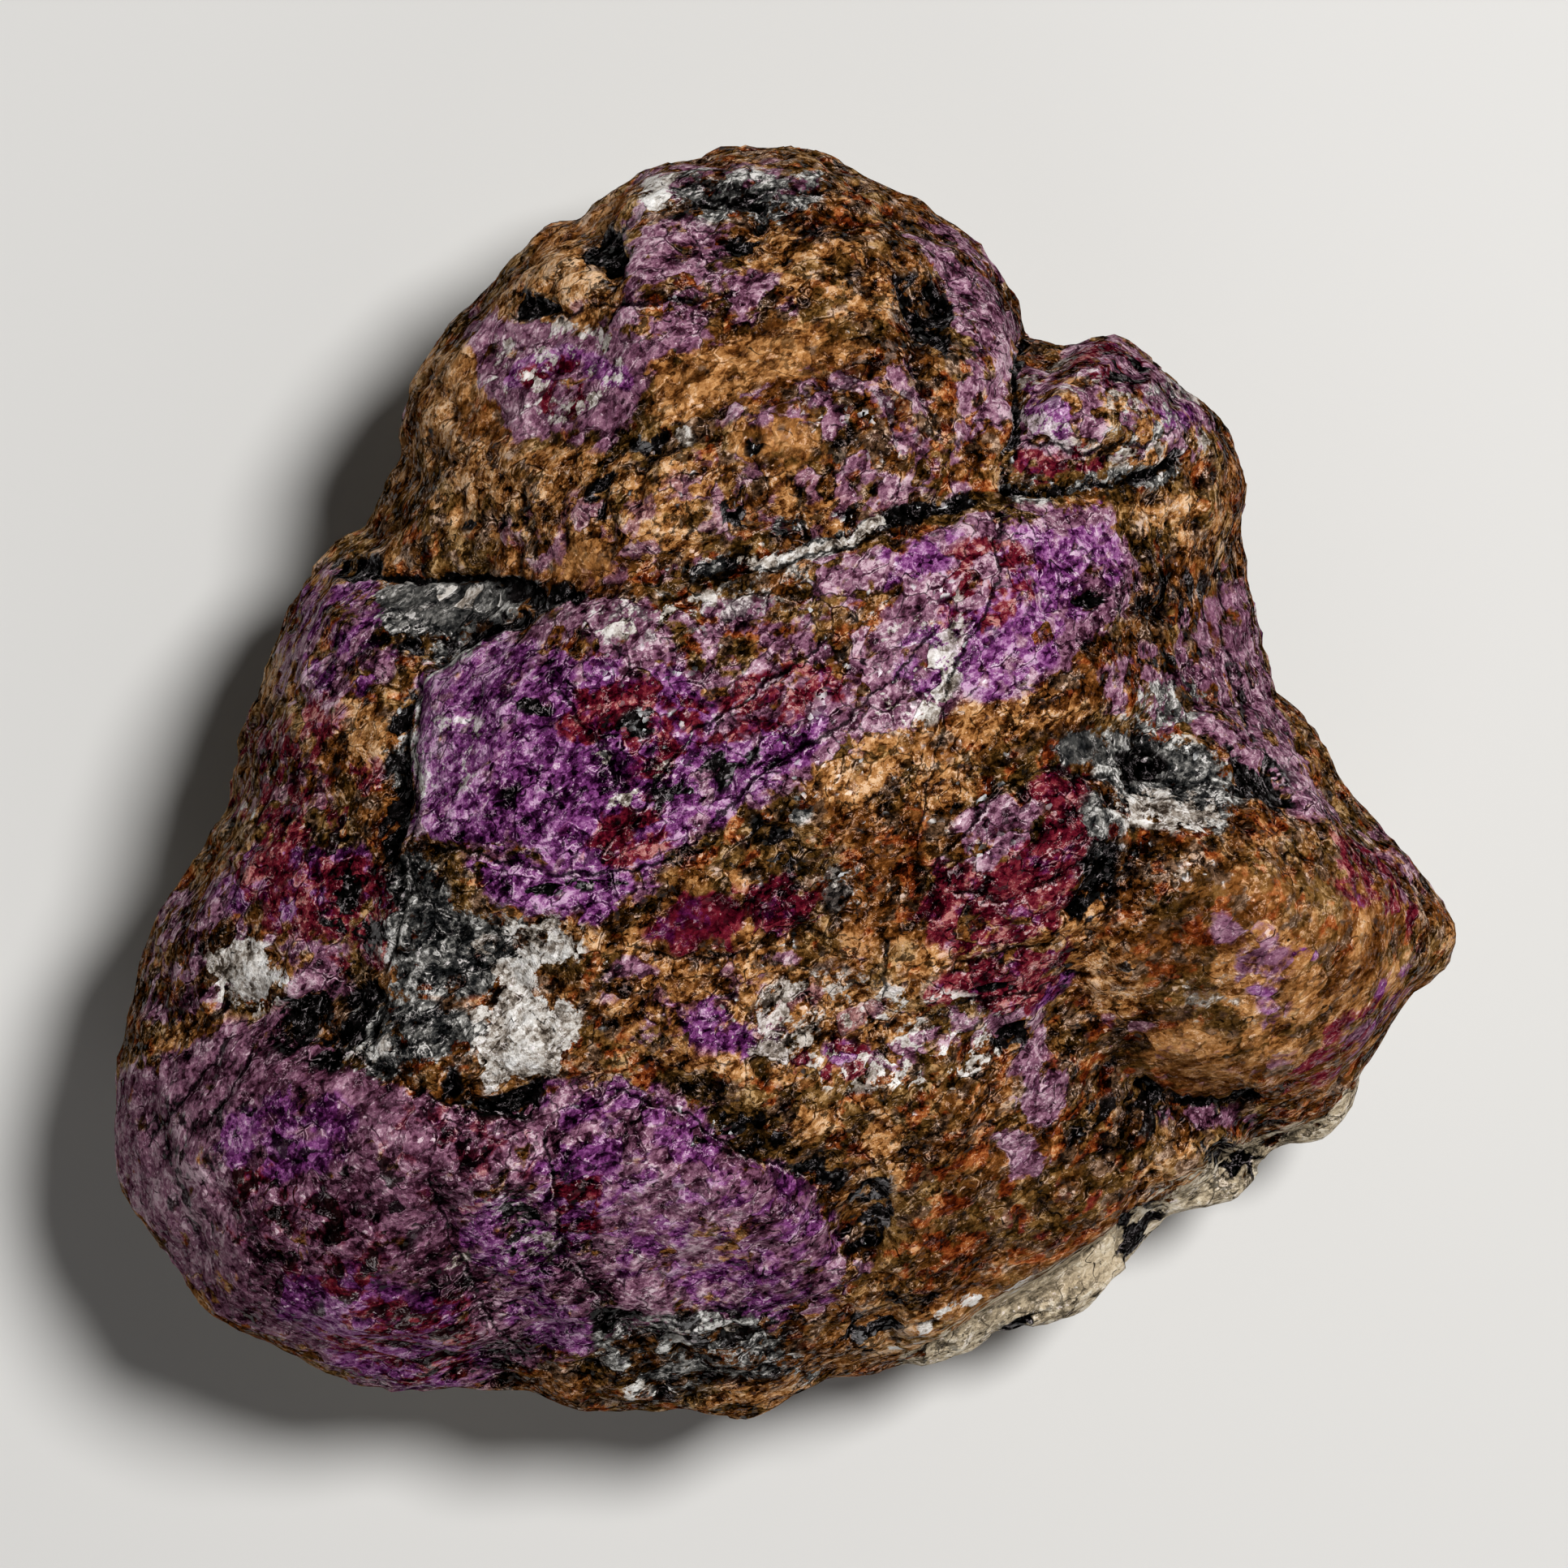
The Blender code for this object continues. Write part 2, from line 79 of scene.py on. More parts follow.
form = {
    "width": 64.0,
    "rimHeight": view["rimHeight"],
    "topRise": 19.5,
    "underDrop": 14.0,
    "ledgeDrop": 4.6,
    "ledgeWidth": 0.9,
    "unevenness": 0.8,
    "unevenSize": 9.0,
    "blockRise": 2.2,
    "blockSize": 4.6,
    "breakSize": 8.5,
    "wallDepth": 0.05,  # this and the next two are shares of the distance from the core
    "breakDepth": 0.19,
    "footPress": 0.07,
    "breakLevel": 0.3,  # how far in the broken faces lie, as a share of breakDepth
    "breakUneven": 0.25,
    "wallBand": (0.5, 0.9),  # from where to where the walls begin, as a share of the way out to the rim
    "sideBand": (0.0, 0.3),  # the same up or down from the rim, as are the next two
    "underBand": (0.0, 0.9),
    "reliefBand": (0.0, 0.4),
    "topBulge": 2.7,  # 2 is an ellipse, and more is boxier
    "underBulge": 3.2,
    "profileSteps": 400,
    "edgeSharpness": 45,
    "outlineBlur": 0.8,  # degrees
    "lumpPower": 2.8,  # 2 is a bell, and more is flatter on top
    "ledgeReach": (12.0, 6.0),  # how far from its edge the ledge ends, and begins to fade
    "outline": [  # seen from above, anticlockwise from the right-hand tip
        (32.0, -7.4), (31.6, -6.3), (29.8, -3.9), (28.0, -1.8), (26.4, 0.2), (25.2, 2.4), (23.5, 4.3),
        (22.6, 6.9), (21.9, 9.6), (21.6, 12.6), (22.1, 13.9), (21.5, 15.7), (20.2, 17.8), (19.2, 18.5),
        (17.6, 20.1), (16.1, 21.0), (14.7, 21.2), (13.7, 20.3), (12.2, 20.9), (11.3, 21.0), (10.8, 22.8),
        (9.6, 24.8), (7.9, 26.5), (5.3, 27.9), (2.9, 29.3), (1.2, 30.1), (-0.6, 29.9), (-2.3, 30.2),
        (-4.2, 29.7), (-6.6, 29.0), (-8.9, 27.6), (-9.7, 26.7), (-11.1, 26.3), (-12.4, 25.1),
        (-14.5, 23.0), (-16.3, 20.9), (-17.7, 18.9), (-18.3, 16.9), (-18.2, 15.7), (-19.0, 14.0),
        (-20.1, 12.1), (-21.1, 11.7), (-22.5, 10.2), (-24.2, 7.0), (-25.0, 4.4), (-25.9, 1.7),
        (-26.4, -0.8), (-27.5, -2.8), (-29.2, -5.5), (-30.6, -7.8), (-31.0, -10.0), (-31.5, -12.4),
        (-31.9, -16.1), (-31.5, -19.2), (-30.2, -21.4), (-28.7, -23.2), (-27.8, -24.9), (-25.3, -26.2),
        (-21.1, -28.2), (-18.5, -28.9), (-14.5, -28.5), (-12.6, -28.7), (-10.3, -29.5), (-4.7, -30.0),
        (-2.3, -30.3), (-1.1, -30.2), (1.5, -28.8), (4.8, -28.2), (5.3, -27.8), (6.4, -28.0),
        (8.6, -27.6), (10.0, -26.4), (12.1, -26.2), (14.3, -25.3), (15.7, -24.0), (17.4, -22.2),
        (18.2, -20.7), (20.9, -20.2), (22.6, -19.0), (23.5, -17.4), (25.0, -17.1), (26.4, -16.7),
        (27.5, -15.0), (27.7, -14.0), (28.7, -12.4), (29.9, -10.1), (31.3, -8.7),
    ],
    "rimSway": [  # bearing in degrees from +X, and the rim's height there over rimHeight
        (-170, -0.5), (-140, 1.5), (-100, -1.0), (-65, -4.0), (-35, -4.6), (-12, 1.5), (10, -1.0),
        (45, 2.0), (80, 4.0), (110, 3.0), (150, -0.5),
    ],
    "topFacets": [  # bearing, tilt, and the share of the bulge that each broken face leaves
        (80, 82, 0.93), (250, 80, 0.93), (95, 50, 0.74), (142, 48, 0.66), (38, 50, 0.72), (174, 46, 0.6),
        (8, 36, 0.4), (215, 50, 0.66), (268, 46, 0.62), (305, 60, 0.72), (338, 46, 0.75),
    ],
    "underFacets": [
        (12, -40, 0.5), (62, -30, 0.45), (104, -46, 0.6), (150, -36, 0.5), (192, -50, 0.7),
        (232, -38, 0.45), (276, -48, 0.6), (316, -32, 0.4), (344, -48, 0.6),
    ],
    "lumps": {  # x, y, half length, half width, turn in degrees, height
        "knob": (-3.3, 20.6, 12.5, 8.0, 8, 1.8),
        "shoulder": (16.6, 17.4, 5.2, 3.4, -20, 2.2),
        "mainFace": (-1.6, 1.0, 19.4, 9.0, 18, 1.4),
        "redLens": (10.8, -6.2, 6.6, 4.2, 55, 1.1),
        "boss": (22.4, -9.0, 7.4, 6.4, -10, 3.2),
        "leftFlank": (-24.0, 2.6, 8.0, 4.0, 70, 1.0),
        "frontLobe": (-21.5, -19.8, 9.5, 7.0, -10, 2.0),
        "frontHeart": (-4.2, -20.8, 8.5, 6.0, -32, 1.6),
        "brownSlope": (10.5, -18.0, 8.5, 5.5, 20, 1.5),
        "pebble": (-0.2, 16.0, 2.0, 1.6, 0, 1.0),
        "backLeftBump": (-10.4, 24.0, 2.8, 1.8, 20, 1.2),
        "leftBump": (-16.2, 19.2, 2.6, 1.9, 60, 0.9),
        "crustLeft": (-11.2, 13.4, 3.2, 2.4, 0, 0.8),
        "crustRight": (-5.2, 13.2, 2.8, 2.6, 0, 0.8),
        "quartzPocket": (-17.0, -9.2, 5.6, 3.0, 10, -1.4),
        "smallPocket": (16.8, 0.6, 3.4, 2.0, -25, -1.5),
        "backPit": (-8.4, 25.2, 1.6, 1.6, 0, -1.2),
        "knobPit": (6.9, 22.0, 2.4, 1.5, 75, -1.5),
        "rightValley": (18.0, 8.2, 5.2, 2.2, 82, -1.4),
        "slopePit": (3.8, -20.6, 1.8, 1.5, 60, -1.0),
    },
    "seams": {  # half width, depth and the line that each seam follows
        "knobSeam": (1.1, 0.8, [
            (-22.3, 10.9), (-20.0, 10.1), (-14.2, 9.0), (-10.3, 9.0), (-4.5, 10.3), (1.4, 11.5), (7.2, 13.0),
            (10.7, 14.1), (18.4, 15.2), (22.0, 13.4),
        ]),
        "shoulderSeam": (1.1, 1.0, [(11.4, 21.2), (11.1, 18.9), (10.7, 14.2)]),
        "leftSeam": (1.2, 0.8, [
            (-13.4, 7.8), (-16.9, 5.5), (-17.5, 2.5), (-17.9, -1.3), (-18.8, -5.2), (-20.4, -9.1),
        ]),
        "lensSeam": (1.4, 1.1, [(16.5, 1.8), (16.1, -1.7), (15.0, -4.8), (13.8, -7.6), (12.8, -11.0)]),
        "bossCrease": (1.5, 2.4, [(15.6, -13.4), (18.4, -15.0), (22.0, -15.4), (25.0, -14.6)]),
        "frontSeam": (1.5, 1.1, [
            (-25.0, -10.6), (-20.0, -13.0), (-15.0, -14.9), (-10.3, -14.6), (-5.2, -13.8), (-2.5, -16.1),
            (1.7, -18.4), (4.1, -21.5),
        ]),
        "leafSeam": (1.3, 0.8, [(-15.9, -18.6), (-14.2, -23.1), (-9.5, -27.0)]),
    },
    "ledge": [  # the edge of the brown face over the pale matrix, from right to front
        (31.2, -9.4), (28.4, -12.9), (26.2, -15.6), (23.6, -16.9), (20.8, -17.4), (18.2, -19.4),
        (14.6, -21.8), (10.7, -24.2), (7.4, -26.2), (4.4, -28.8),
    ],
    "feet": [(-15.0, -10.0, 6.5), (12.5, -9.0, 6.5), (-1.5, 13.5, 7.0)],  # x, y, radius
}

broken = {"scatter": 0.4, "lift": 0.35, "lean": 0.8, "dome": 0.9}  # how the broken faces lie
salts = {  # one for each noise, so that no two are alike
    "walls": 5,
    "unevenness": 11,
    "blocks": 31,
    "underBreak": 71,
    "wander": (301, 311),
    "underStains": 401,
    "crustEnd": 481,
    "scoops": 501,
    "grains": 521,
    "waves": 541,
    "steps": 561,
    "pits": 571,
}


def cornerNumber(corner, salt):
    # A number from -1 to 1 for each lattice corner, the same on every run.
    mixed = (corner * (374761393, 668265263, 2147483647)).sum(axis=1) + salt * 1274126177
    mixed = (mixed ^ (mixed >> 13)) * 1103515245 & 0x7FFFFFFF
    mixed = (mixed ^ (mixed >> 15)) * 12345677 & 0x7FFFFFFF
    return mixed / 0x3FFFFFFF - 1


def latticeNoise(points, cell, salt):
    # A number for each corner of a lattice, blended across each cell by 3 s^2 - 2 s^3.
    scaled = points / cell
    corner = np.floor(scaled).astype(np.int64)
    share = scaled - corner
    share = share * share * (3 - 2 * share)
    total = np.zeros(len(points))
    for step in np.ndindex(2, 2, 2):
        weight = np.prod(np.where(step, share, 1 - share), axis=1)
        total += weight * cornerNumber(corner + step, salt)
    return total


def layeredNoise(points, cell, salt):
    # noise(cell) + noise(cell / 2) / 2 + noise(cell / 4) / 4
    return sum(latticeNoise(points, cell / 2**k, salt + k) / 2**k for k in range(3))


def brokenFaces(points, cell, salt):
    # Around each seed stands a tilted, barely domed face, and the highest shows:
    # height = max of lift * chance + lean * (offset . tilt) - dome * |offset|^2
    home = np.floor(points / cell).astype(np.int64)
    height = np.full(len(points), -np.inf)
    for step in np.ndindex(3, 3, 3):
        corner = home + np.array(step) - 1
        jitter = np.stack([cornerNumber(corner, salt + k) for k in range(3)], axis=1)
        tilt = np.stack([cornerNumber(corner, salt + 3 + k) for k in range(3)], axis=1)
        away = points / cell - (corner + 0.5 + broken["scatter"] * jitter)
        face = broken["lift"] * tilt[:, 0] + broken["lean"] * (away * tilt).sum(axis=1)
        height = np.maximum(height, face - broken["dome"] * (away**2).sum(axis=1))
    return height


def smoothStep(value, low, high):
    share = np.clip((value - low) / (high - low), 0, 1)
    return share * share * (3 - 2 * share)


def lineDistance(plan, line):
    # Distance of each point to a line of points, and its side: 1 is left of the line, -1 right.
    nearest = np.full(len(plan), np.inf)
    side = np.ones(len(plan))
    for start, end in zip(np.array(line[:-1]), np.array(line[1:]), strict=True):
        along = end - start
        share = np.clip((plan - start) @ along / (along @ along), 0, 1)
        away = plan - start - share[:, None] * along
        distance = np.hypot(away[:, 0], away[:, 1])
        turn = along[0] * away[:, 1] - along[1] * away[:, 0]
        closer = distance < nearest
        nearest = np.where(closer, distance, nearest)
        side = np.where(closer, np.sign(turn), side)
    return nearest, side


def outlineRadius(bearing):
    # The outline's distance from the origin, as the mean of three bearings.
    outline = np.array(form["outline"])
    knots = np.arctan2(outline[:, 1], outline[:, 0])
    radii = np.hypot(outline[:, 0], outline[:, 1])
    turns = np.radians([-form["outlineBlur"], 0, form["outlineBlur"]])
    return sum(np.interp(bearing + turn, knots, radii, period=2 * np.pi) for turn in turns) / len(turns)


def rimSway(bearing):
    knots, heights = np.array(form["rimSway"]).T
    return np.interp(bearing, np.radians(knots), heights, period=2 * np.pi)


def profile(share, rise, bulge):
    # A superellipse from the pole, share 0, to the rim, share 1: out = sin(t)^(2 / bulge), high = cos(t),
    # with t chosen so that equal steps of share are equal lengths.
    turn = np.linspace(0, np.pi / 2, form["profileSteps"])
    out, high = np.sin(turn) ** (2 / bulge), np.cos(turn)
    lengths = np.hypot(np.diff(out) * form["width"] / 2, np.diff(high) * rise)
    travelled = np.concatenate([[0], np.cumsum(lengths)]) / lengths.sum()
    return np.interp(share, travelled, out), np.interp(share, travelled, high)


def facetExcess(points, facets):
    # How far each point stands past the planes of the breaks, smoothed by k:
    # log(exp(k) + the sum of exp(k * reach / plane)) / k - 1
    sharpness = form["edgeSharpness"]
    powers = np.exp(np.full(len(points), float(sharpness)))
    for bearing, tilt, share in np.radians(facets) * (1, 1, 180 / np.pi):
        normal = np.array([np.cos(tilt) * np.cos(bearing), np.cos(tilt) * np.sin(bearing), np.sin(tilt)])
        rimReach = (np.array(form["outline"]) @ normal[:2]).max()
        reach = points @ normal
        plane = rimReach + share * (reach.max() - rimReach)
        powers += np.exp(sharpness * np.minimum(reach / plane, 2))  # no point is twice as far out
    return np.log(powers) / sharpness - 1


def roundedForm(directions):
    # A dome over a shallower bowl: (outline * out * cos, outline * out * sin, rise * high), cut by facets.
    bearing = np.arctan2(directions[:, 1], directions[:, 0])
    lift = np.arcsin(np.clip(directions[:, 2], -1, 1)) / (np.pi / 2)
    upper = lift >= 0
    outAbove, highAbove = profile(1 - np.abs(lift), form["topRise"], form["topBulge"])
    outBelow, highBelow = profile(1 - np.abs(lift), form["underDrop"], form["underBulge"])
    out = np.where(upper, outAbove, outBelow)
    high = np.where(upper, highAbove, -highBelow)

    radius = outlineRadius(bearing) * out
    tall = high * np.where(upper, form["topRise"], form["underDrop"])
    points = np.column_stack([radius * np.cos(bearing), radius * np.sin(bearing), tall])
    above, below = facetExcess(points, form["topFacets"]), facetExcess(points, form["underFacets"])
    points /= (1 + smoothStep(np.abs(high), *form["sideBand"]) * np.where(upper, above, below))[:, None]
    points[:, 2] += form["rimHeight"] + rimSway(bearing) * out**2
    return points, out, high


def roughen(points, out, high):
    # The walls are drawn in by noise, and the underside is broken into blunt faces with three feet.
    rough = 0.5 + 0.5 * layeredNoise(points, form["unevenSize"], salts["walls"])
    wall = smoothStep(out, *form["wallBand"]) * smoothStep(high, *form["sideBand"])
    points[:, :2] *= (1 - form["wallDepth"] * wall * np.clip(rough, 0, 2))[:, None]

    foot = np.zeros(len(points))
    for x, y, radius in form["feet"]:
        reach = np.hypot(points[:, 0] - x, points[:, 1] - y) / radius
        foot = np.maximum(foot, np.exp(-(reach**2)))
    faces = form["breakLevel"] - brokenFaces(points, form["breakSize"], salts["underBreak"])
    faces += form["breakUneven"] * rough
    drawnIn = form["breakDepth"] * faces * (1 - foot) - form["footPress"] * foot
    shrink = smoothStep(-high, *form["underBand"]) * drawnIn
    core = np.array([0, 0, form["rimHeight"]])
    return core + (points - core) * (1 - shrink)[:, None]


def upperRelief(plan):
    # Lumps add rise * exp(-reach^power), and seams take depth * exp(-(distance / half width)^2).
    height = np.zeros(len(plan))
    for x, y, length, width, turn, rise in form["lumps"].values():
        cos, sin = np.cos(np.radians(turn)), np.sin(np.radians(turn))
        dx, dy = plan[:, 0] - x, plan[:, 1] - y
        reach = ((dx * cos + dy * sin) / length) ** 2 + ((dy * cos - dx * sin) / width) ** 2
        height += rise * np.exp(-(reach ** (form["lumpPower"] / 2)))
    for halfWidth, depth, line in form["seams"].values():
        distance, _ = lineDistance(plan, line)
        height -= depth * np.exp(-((distance / halfWidth) ** 2))
    return height


def outsideLedge(plan):
    # Signed distance in millimetres: positive on the pale matrix, and far below 0 away from the front right.
    distance, side = lineDistance(plan, form["ledge"])
    end = form["ledgeReach"][0]
    return np.where(distance < end, distance * side, -2 * end)


def rockSurface(directions):
    # The top is raised by fade * (1 - shelf) * relief + shelf * blocks, where shelf is 1 on the pale ledge.
    points, out, high = roundedForm(directions)
    points = roughen(points, out, high)
    plan = points[:, :2]
    fade = smoothStep(high, *form["reliefBand"])
    distance, side = lineDistance(plan, form["ledge"])
    shelf = smoothStep(distance * side, -form["ledgeWidth"] / 2, form["ledgeWidth"] / 2)
    shelf = fade * shelf * smoothStep(distance, *form["ledgeReach"])
    uneven = layeredNoise(points, form["unevenSize"], salts["unevenness"])
    relief = upperRelief(plan) + form["unevenness"] * uneven
    blocks = form["blockRise"] * brokenFaces(points, form["blockSize"], salts["blocks"]) - form["ledgeDrop"]
    points[:, 2] += fade * (1 - shelf) * relief + shelf * blocks
    points[:, 2] = np.maximum(points[:, 2], 0)
    return points, high


# The stains, and painted light and shade

staining = {  # all in millimetres, apart from the shares
    "spread": 0.75,  # over which an edge fades from 0.5 to 0 or 1, less on what is narrower
    "wanderFar": (0.45, 2.8),  # how far all edges wander, and over what size
    "wanderNear": (0.22, 1.0),
    "crackReach": 2.0,  # how far from a crack the surface knows of it
    "ochreHides": 0.5,  # the share of a colour that is lost under ochre, and the ochre that it takes
    "ochreBand": (0.5, 0.8),
    "belowBand": (0.0, 0.08),  # from where to where below the rim the pictured stains end
    "patchSize": 7.0,
    "patchChance": 0.35,
    "patchMost": 0.9,
    "underStains": {  # how much of the walls below the rim each covers
        "violet": 0.42, "lilac": 0.5, "maroon": 0.38, "ochre": 0.42, "grey": 0.35, "white": 0.2, "blackAndShadow": 0.3,
    },
    "matrixHeight": -0.34,  # where the pale matrix begins below the rim, 0, and above the lowest point, -1
    "matrixWander": ((9.0, 0.2), (3.0, 0.08)),  # size and height of its wandering edge
    "matrixSharpness": 4,
}
widest = staining["spread"] * view["pixelsPerMm"]


def insideArea(pixels, outline):
    # Signed distance to a closed outline, positive inside: the sign is from counting crossings to the right.
    corners = np.array(outline, float)
    distance, _ = lineDistance(pixels, [*outline, outline[0]])
    inside = np.zeros(len(pixels), bool)
    for (x1, y1), (x2, y2) in zip(corners, np.roll(corners, -1, axis=0), strict=True):
        between = (y1 > pixels[:, 1]) != (y2 > pixels[:, 1])
        crossing = x1 + (pixels[:, 1] - y1) * (x2 - x1) / (y2 - y1 if y2 != y1 else 1)
        inside ^= between & (pixels[:, 0] < crossing)
    return np.where(inside, distance, -distance)


def ellipseReach(pixels, u, v, length, width, turn=0):
    # 0 in the middle of an ellipse and 1 on its edge.
    cos, sin = np.cos(np.radians(turn)), np.sin(np.radians(turn))
    du, dv = pixels[:, 0] - u, v - pixels[:, 1]
    return np.hypot((du * cos + dv * sin) / length, (dv * cos - du * sin) / width)


def area(cover, outline):
    # Each form of stain is its cover, about 0.2 for a few flecks and 1 or more for all of it, the corners of
    # its box, the spread of its edge, and a function for its signed distance.
    return cover, outline, widest, lambda pixels: insideArea(pixels, outline)


def spot(cover, u, v, length, width, turn=0):
    # An ellipse, by its middle, half length, half width and turn.
    def distance(pixels):
        return (1 - ellipseReach(pixels, u, v, length, width, turn)) * min(length, width)

    return cover, [(u - length, v - length), (u + length, v + length)], min(widest, width), distance


def stroke(cover, half, line):
    # A line, by its half width and points.
    return cover, line, min(widest, half), lambda pixels: half - lineDistance(pixels, line)[0]


